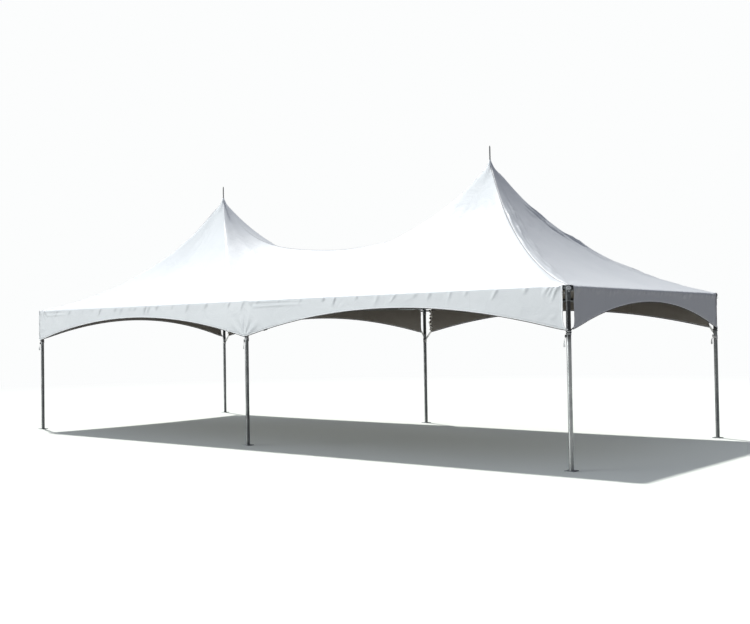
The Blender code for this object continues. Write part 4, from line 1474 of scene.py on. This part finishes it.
BOSS_Z = middle("mast_foot_left").z
cables = {}
for side_name, side in BAYS.items():
    for column in ("mid", side_name):
        for row in ROWS:
            corner = Vector((COLUMNS[column], ROWS[row], BOSS_Z))
            mast = Vector((side * MAST_X, 0.0, BOSS_Z))
            cables[side_name, column, row] = (corner, (mast - corner).normalized(), (mast - corner).length)
for number in range(1, 5):
    for side_name in BAYS:
        node = f"cable_{side_name}_{number}"
        centre = middle(node)
        key = min((key for key in cables if key[0] == side_name),
                  key=lambda key: (cables[key][0] + cables[key][1] * cables[key][2] / 2 - centre).length)
        corner, heading, length = cables[key]
        rope = rope_material(f"wire_rope_{side_name}_{number}", corner, corner + heading,
                             "#9A9C9E", "#4E5052")
        finish_node(node, rope)
print("finished", len(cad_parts), "nodes")

# %% [markdown]
# ## Bolts, rims and rigging
#
# Near the frame the eye looks for what holds it together: rolled rims, bolts, eyes, pins and turnbuckles.
# Two shapes come again and again. A rim or an eye is a small circle spun about an axis. A bolt is a washer,
# turned like on a lathe, with a six-sided head on it whose outer edge is bevelled.

# %% Hardware helpers


def add_ring(bm, major, minor, place, steps=28):
    """A round ring: a small circle spun about Z."""
    turns = [2 * math.pi * step / 8 for step in range(8)]
    outline = [(major + minor * math.cos(turn), minor * math.sin(turn)) for turn in turns]
    add_turned(bm, outline + outline[:1], place, steps)


def add_bolt(bm, spot, out, size=0.0085):
    """A hexagon head on a washer, its face towards a direction."""
    place = aim(spot, out)
    washer = [(0.0, 0.0), (size * 1.45, 0.0), (size * 1.45, 0.0014), (size * 1.35, 0.0018), (0.0, 0.0018)]
    add_turned(bm, washer, place, 18)
    made = bmesh.ops.create_cone(bm, cap_ends=True, segments=6, radius1=size, radius2=size, depth=size * 0.75,
                                 matrix=place @ Matrix.Translation((0, 0, 0.0018 + size * 0.375)))["verts"]
    rim = [edge for edge in {edge for vert in made for edge in vert.link_edges}
           if all((place.inverted() @ vert.co).z > 0.0018 + size * 0.7 for vert in edge.verts)]
    bmesh.ops.bevel(bm, geom=rim, offset=size * 0.09, segments=1, profile=0.5, affect="EDGES", material=-1)
    mark_done(bm)


def crown_arms(column, row):
    """The level directions in which a crown holds tubes, with the one to the other row last."""
    along = {"left": [Vector((1, 0, 0))], "right": [Vector((-1, 0, 0))],
             "mid": [Vector((1, 0, 0)), Vector((-1, 0, 0))]}[column]
    return along + [Vector((0, 1 if row == "front" else -1, 0))]


print("arms at the crowns:", [len(crown_arms(column, "front")) for column in COLUMNS])

# %% [markdown]
# The mouths of the crowns' sleeves are rolled into a small rim, so that they don't cut the tube. Each arm
# has two bolts through it, with their heads below, where a hand can reach. Each corner crown has a capped
# stub and an eye on its outer side, for a guy strap.

# %% Crown details
SLEEVE_OUT, SLEEVE_DOWN = 0.150, 0.170
BOLT_SEAT = SLEEVE_R - 0.0006                  # a bolt's washer lies this far from the sleeve's middle
STUB = [(0.0, 0.0), (0.0290, 0.0), (0.0290, 0.0090), (0.0270, 0.0110), (0.0225, 0.0110), (0.0215, 0.0085),
        (0.0125, 0.0085), (0.0115, 0.0120), (0.0, 0.0130)]
rims, bolts, pins = bmesh.new(), bmesh.new(), bmesh.new()
for column in COLUMNS:
    for row in ROWS:
        centre = Vector((COLUMNS[column], ROWS[row], TUBE_Z))
        arms = crown_arms(column, row)
        for arm in arms:
            add_ring(rims, SLEEVE_R - 0.0012, 0.0030, aim(centre + arm * SLEEVE_OUT, arm))
            for reach in (0.088, 0.126):
                add_bolt(bolts, centre + arm * reach + DOWN * BOLT_SEAT, DOWN)
        add_ring(rims, SLEEVE_R - 0.0012, 0.0030, aim(centre + DOWN * SLEEVE_DOWN, DOWN))
        for drop in (0.095, 0.140):
            for out in (arms[-1], -arms[0] if column == "mid" else arms[0]):
                add_bolt(bolts, centre + DOWN * drop + out * BOLT_SEAT, out)
        if column != "mid":
            out = Vector((math.copysign(1, centre.x), math.copysign(1, centre.y), 0)).normalized()
            add_turned(pins, STUB, aim(centre + out * (SLEEVE_R - 0.003) + DOWN * 0.004, out), 32)
            eye = centre + out * (SLEEVE_R + 0.0125) + DOWN * 0.046
            add_ring(pins, 0.0120, 0.0032, aim(eye, Vector((out.y, -out.x, 0))), 24)
rims = new_piece("crown_rims", rims, "fitting", galvanised)
bolts = new_piece("crown_bolts", bolts, "fitting", plated)
pins = new_piece("crown_eyes", pins, "fitting", plated)
print("crown details:", triangles(rims), triangles(bolts), triangles(pins), "triangles")

# %% [markdown]
# The foot plates have two holes for ground stakes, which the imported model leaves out. So each plate is made
# again: its outline with rounded corners and two circles are filled as one flat face with holes, and that
# is given its thickness. A weld bead joins the stub to it, and a spring button holds the leg on the stub.

# %% Foot plates
plate_low, plate_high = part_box("base_plate_front_mid")
PLATE = plate_high.x - plate_low.x
PLATE_T, STUB_TOP = 0.008, plate_high.z
HOLE_R, HOLE_SPOT = 0.010, 0.052


def outline_points(half, corner, count=6):
    """A square's outline with rounded corners."""
    points = []
    for quarter, (sx, sy) in enumerate(((1, 1), (-1, 1), (-1, -1), (1, -1))):
        for step in range(count + 1):
            turn = math.pi / 2 * (quarter + step / count)
            points.append((sx * (half - corner) + corner * math.cos(turn),
                           sy * (half - corner) + corner * math.sin(turn)))
    return points


def add_loop(bm, points, z):
    verts = [bm.verts.new((x, y, z)) for x, y in points]
    return [bm.edges.new(pair) for pair in zip(verts, verts[1:] + verts[:1])]


def make_plate(column, row):
    """One foot plate, with its stub, weld and spring button."""
    centre = leg_at(column, row)
    bm = bmesh.new()
    loops = add_loop(bm, outline_points(PLATE / 2 - 0.0008, 0.012), 0.0)
    for sign in (-1, 1):
        circle = [(sign * HOLE_SPOT + HOLE_R * math.cos(step * math.pi / 10),
                   sign * HOLE_SPOT + HOLE_R * math.sin(step * math.pi / 10)) for step in range(20)]
        loops += add_loop(bm, circle, 0.0)
    bmesh.ops.triangle_fill(bm, edges=loops, use_beauty=True)
    raised = bmesh.ops.extrude_face_region(bm, geom=bm.faces[:], use_keep_orig=True)["geom"]
    bmesh.ops.translate(bm, verts=[item for item in raised if isinstance(item, bmesh.types.BMVert)],
                        vec=(0, 0, PLATE_T))
    bmesh.ops.transform(bm, matrix=Matrix.Translation(centre), verts=bm.verts)
    mark_done(bm)
    inner = TUBE_R - 0.003 - 0.0003
    add_turned(bm, [(inner, PLATE_T), (inner, STUB_TOP), (inner - 0.004, STUB_TOP), (inner - 0.004, PLATE_T)],
               Matrix.Translation(centre), 24)
    add_ring(bm, TUBE_R + 0.0015, 0.0042, Matrix.Translation(centre + UP * PLATE_T))
    out = Vector((-0.45, -0.89, 0)).normalized()
    button = centre + out * (TUBE_R - 0.002) + UP * 0.085
    add_turned(bm, [(0.0045, 0.0), (0.0045, 0.0035), (0.0035, 0.0052), (0.0, 0.0060)], aim(button, out), 14)
    plate = new_piece(f"foot_plate_{row}_{column}", bm, "fitting", galvanised)
    edge = plate.modifiers.new("edge", "BEVEL")
    edge.width, edge.segments, edge.limit_method = 0.0008, 2, "ANGLE"
    edge.angle_limit = math.radians(50)
    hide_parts(f"base_plate_{row}_{column}")
    return plate


plates = [make_plate(column, row) for column in COLUMNS for row in ROWS]
print("foot plates:", len(plates), "with", triangles(plates[0]), "triangles each")

# %% [markdown]
# On every cable a turnbuckle takes up the slack. Two threaded studs screw into one body from both ends,
# each with a locknut, and a fork with a pin holds it to the crown. Pressed sleeves hold the rope, and an
# eye and a pin hold it to the mast's foot.

# %% Cable rigging
CABLE_R = 0.0045
CORE_R = CABLE_R - 0.001                       # turned pieces start inside the rope, so that no gap shows
BOSS_OUT, FOOT_BOSS_OUT = 0.075, 0.080         # the pins' distances from the crown's and the mast's middles
SCREW_AT, HALF_BODY = 0.300, 0.095             # the turnbuckle's middle from the crown's, and half its length
THREADS, THREAD_LENGTH = 14, 0.048
HALF_SWAGE = 0.034
BODY = [(0.0072, -HALF_BODY), (0.0108, -HALF_BODY), (0.0118, -HALF_BODY + 0.002), (0.0118, HALF_BODY - 0.002),
        (0.0108, HALF_BODY), (0.0072, HALF_BODY), (0.0072, -HALF_BODY)]
SWAGE = [(CORE_R, -HALF_SWAGE), (0.0078, -HALF_SWAGE), (0.0086, -HALF_SWAGE + 0.003),
         (0.0086, HALF_SWAGE - 0.012), (0.0060, HALF_SWAGE), (CORE_R, HALF_SWAGE)]
rig, swages = bmesh.new(), bmesh.new()


def add_stud(bm, screw, sign):
    """A locknut and a threaded stud at one end of a turnbuckle, whose middle is a matrix."""
    nut = Matrix.Translation((0, 0, sign * (HALF_BODY + 0.0055)))
    bmesh.ops.create_cone(bm, cap_ends=True, segments=6, radius1=0.0112, radius2=0.0112, depth=0.009,
                          matrix=screw @ nut)
    mark_done(bm)
    first = HALF_BODY + 0.010
    thread = [(0.0064 if step % 2 else 0.0056, sign * (first + THREAD_LENGTH * step / (2 * THREADS)))
              for step in range(2 * THREADS + 1)]
    add_turned(bm, [(CORE_R, thread[0][1])] + thread + [(CORE_R, thread[-1][1])], screw, 14)


for corner, heading, length in cables.values():
    screw = aim(corner + heading * SCREW_AT, heading)
    add_turned(rig, BODY, screw, 20)
    for sign in (-1, 1):
        add_stud(rig, screw, sign)

    # fork and pin at the crown's boss
    side_on = heading.cross(UP).normalized()
    turn = axes_matrix(heading, side_on, UP)
    for sign in (-1, 1):
        cheek = corner + heading * (BOSS_OUT + 0.014) + side_on * sign * 0.0160
        add_box(rig, (0.052, 0.0046, 0.0200), Matrix.Translation(cheek) @ turn, 0.0018)
    neck = corner + heading * (BOSS_OUT + 0.040)
    add_box(rig, (0.014, 0.0366, 0.0200), Matrix.Translation(neck) @ turn, 0.0018)
    pin = corner + heading * (BOSS_OUT - 0.004)
    add_bar(rig, pin - side_on * 0.0230, pin + side_on * 0.0230, 0.0050)

    # pressed sleeves at both ends of the rope, and the eye and pin at the mast's foot
    for distance in (SCREW_AT + HALF_BODY + 0.092, length - FOOT_BOSS_OUT - 0.060):
        add_turned(swages, SWAGE, aim(corner + heading * distance, heading), 18)
    foot = corner + heading * (length - FOOT_BOSS_OUT - 0.006)
    add_ring(swages, 0.0160, 0.0042, aim(foot - heading * 0.006, side_on), 24)
    pin = foot + heading * 0.008
    add_bar(swages, pin - side_on * 0.0200, pin + side_on * 0.0200, 0.0046)
rig = new_piece("turnbuckles", rig, "rope", plated)
swages = new_piece("rope_sleeves", swages, "rope", plated)
print("rigging:", triangles(rig), triangles(swages), "triangles")

# %% [markdown]
# ## Masts and peaks
#
# A mast is in two lengths, joined by a sleeve with through bolts, so that it can be packed. Its lower end
# sits in a ring on the round foot, and eight small bolts stand round the foot's top.

# %% Mast details
FOOT_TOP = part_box("mast_foot_left")[1].z
MAST_R = 0.0254
SLEEVES = ((3.42, 0.085, 0.0042), (FOOT_TOP + 0.020, 0.020, 0.0060))    # middle height, half length, wall
FOOT_BOLT_R = 0.043
mast_bits, mast_bolts = bmesh.new(), bmesh.new()
for side in BAYS.values():
    base = Vector((side * MAST_X, 0.0, 0.0))
    clear = MAST_R + 0.0003
    for z, half, wall in SLEEVES:
        outline = [(clear, z - half), (clear + wall - 0.001, z - half), (clear + wall, z - half + 0.002),
                   (clear + wall, z + half - 0.002), (clear + wall - 0.001, z + half), (clear, z + half),
                   (clear, z - half)]
        add_turned(mast_bits, outline, Matrix.Translation(base), 28)
        for turn in (0.25 * math.pi, 1.25 * math.pi):
            out = heading_at(turn)
            for lift in ((-0.045, 0.045) if half > 0.05 else (0.0,)):
                add_bolt(mast_bolts, base + out * (clear + wall - 0.0008) + UP * (z + lift), out, 0.0065)
    for step in range(8):
        out = heading_at(math.pi / 4 * (step + 0.5))
        add_bolt(mast_bolts, base + out * FOOT_BOLT_R + UP * (FOOT_TOP - 0.0006), UP, 0.0055)
mast_bits = new_piece("mast_sleeves", mast_bits, "tube", tubes_by_axis[2])
mast_bolts = new_piece("mast_bolts", mast_bolts, "fitting", plated)
print("mast details:", triangles(mast_bits), triangles(mast_bolts), "triangles")

# %% [markdown]
# ## The canopy's underside
#
# Seen from below, the cover shows how it carries load. A broad webbing is sewn under each hip, from the
# peak to the crown, and along the ridge between the masts. The cloth is tied to the eave tubes by loops.

# %% Underside webbing
HIP_TAPE, HIP_TAPE_T = 0.050, 0.0020
TAPE_FROM, TAPE_TO = 0.035, 0.990              # where a tape starts and ends, from the mast to the eave
BELOW = 0.0055                                 # its distance under the canopy's outer face
LOOPS_LONG, LOOPS_GABLE = (-2.4, -1.2, 0.0, 1.2, 2.4), (-1.8, -0.6, 0.6, 1.8)


def under_cover(side, x, y, below):
    """A point under the canopy, its folds included."""
    outward = abs(x) - MAST_X
    along = outward / (RUN_L - MAST_X) if outward > 0 else -level(-outward / MAST_X, SLOPE_LEVEL)
    fold = roof_fold(side, along, y / RUN_W, x, y)
    return Vector((x, y, roof_height(x, y))) + slope_normal(x, y) * (fold - below)


def add_tape(bm, side, along_end, across_end, count=60):
    """A narrow grid laid along a line of the canopy, on both slopes of it."""
    made = bmesh.ops.create_grid(bm, x_segments=4, y_segments=count, size=0.5)["verts"]
    for vert in made:
        share = TAPE_FROM + (TAPE_TO - TAPE_FROM) * (vert.co.y + 0.5)
        x, y = plan(side, along_end * share, across_end * share)
        ahead = Vector(plan(side, along_end * (share + 0.01), across_end * (share + 0.01))) - Vector((x, y))
        sideways = Vector((-ahead.y, ahead.x)).normalized() * vert.co.x * HIP_TAPE
        vert.co = under_cover(side, x + sideways.x, y + sideways.y, BELOW)


tapes = bmesh.new()
for side in BAYS.values():
    for along_end in (-1, 1):
        for across_end in (-1, 1):
            add_tape(tapes, side, along_end, across_end)
    add_tape(tapes, side, -1, 0.0)
tapes = new_piece("canopy_webbing", tapes, "canvas", inner_cloth_painted_shade)
thicken(tapes, HIP_TAPE_T)


def loop_frames(spot, axis):
    """Frames round a tube, close to its skin."""
    frames = []
    side_on = axis.cross(UP)
    for step in range(24):
        turn = 2 * math.pi * step / 24
        out = side_on * math.cos(turn) + UP * math.sin(turn)
        frames.append((spot + out * (TUBE_R + 0.0022), axis, out))
    return frames


loops = bmesh.new()
places = []
for row in ROWS:
    for centre in (-HALF_L / 2, HALF_L / 2):
        for offset in LOOPS_LONG:
            places.append((Vector((centre + offset, ROWS[row], TUBE_Z)), Vector((1, 0, 0))))
for column in ("left", "right"):
    for offset in LOOPS_GABLE:
        places.append((Vector((COLUMNS[column], offset, TUBE_Z)), Vector((0, 1, 0))))
for spot, axis in places:
    add_swept(loops, strip(0.045, 0.0018), loop_frames(spot, axis), closed=True)
loops = new_piece("eave_loops", loops, "canvas", pale_webbing)
print("underside:", triangles(tapes), triangles(loops), "triangles")

# %% Sheets
ON_SHOULDER = ROLL_R * SHOULDER_TURN           # the part of a skirt that lies on the eave tube's shoulder
for skirt, (face, start, end, first, last, arches, mid, swing) in SKIRTS.items():
    length, top = end - start - first - last, TUBE_Z + ON_SHOULDER - EAVE

# %% [markdown]
# ## The tent's measures
#
# The dressed model's box is found, leaving out the floor.

# %% Sizes of the whole, and the end
low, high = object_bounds()
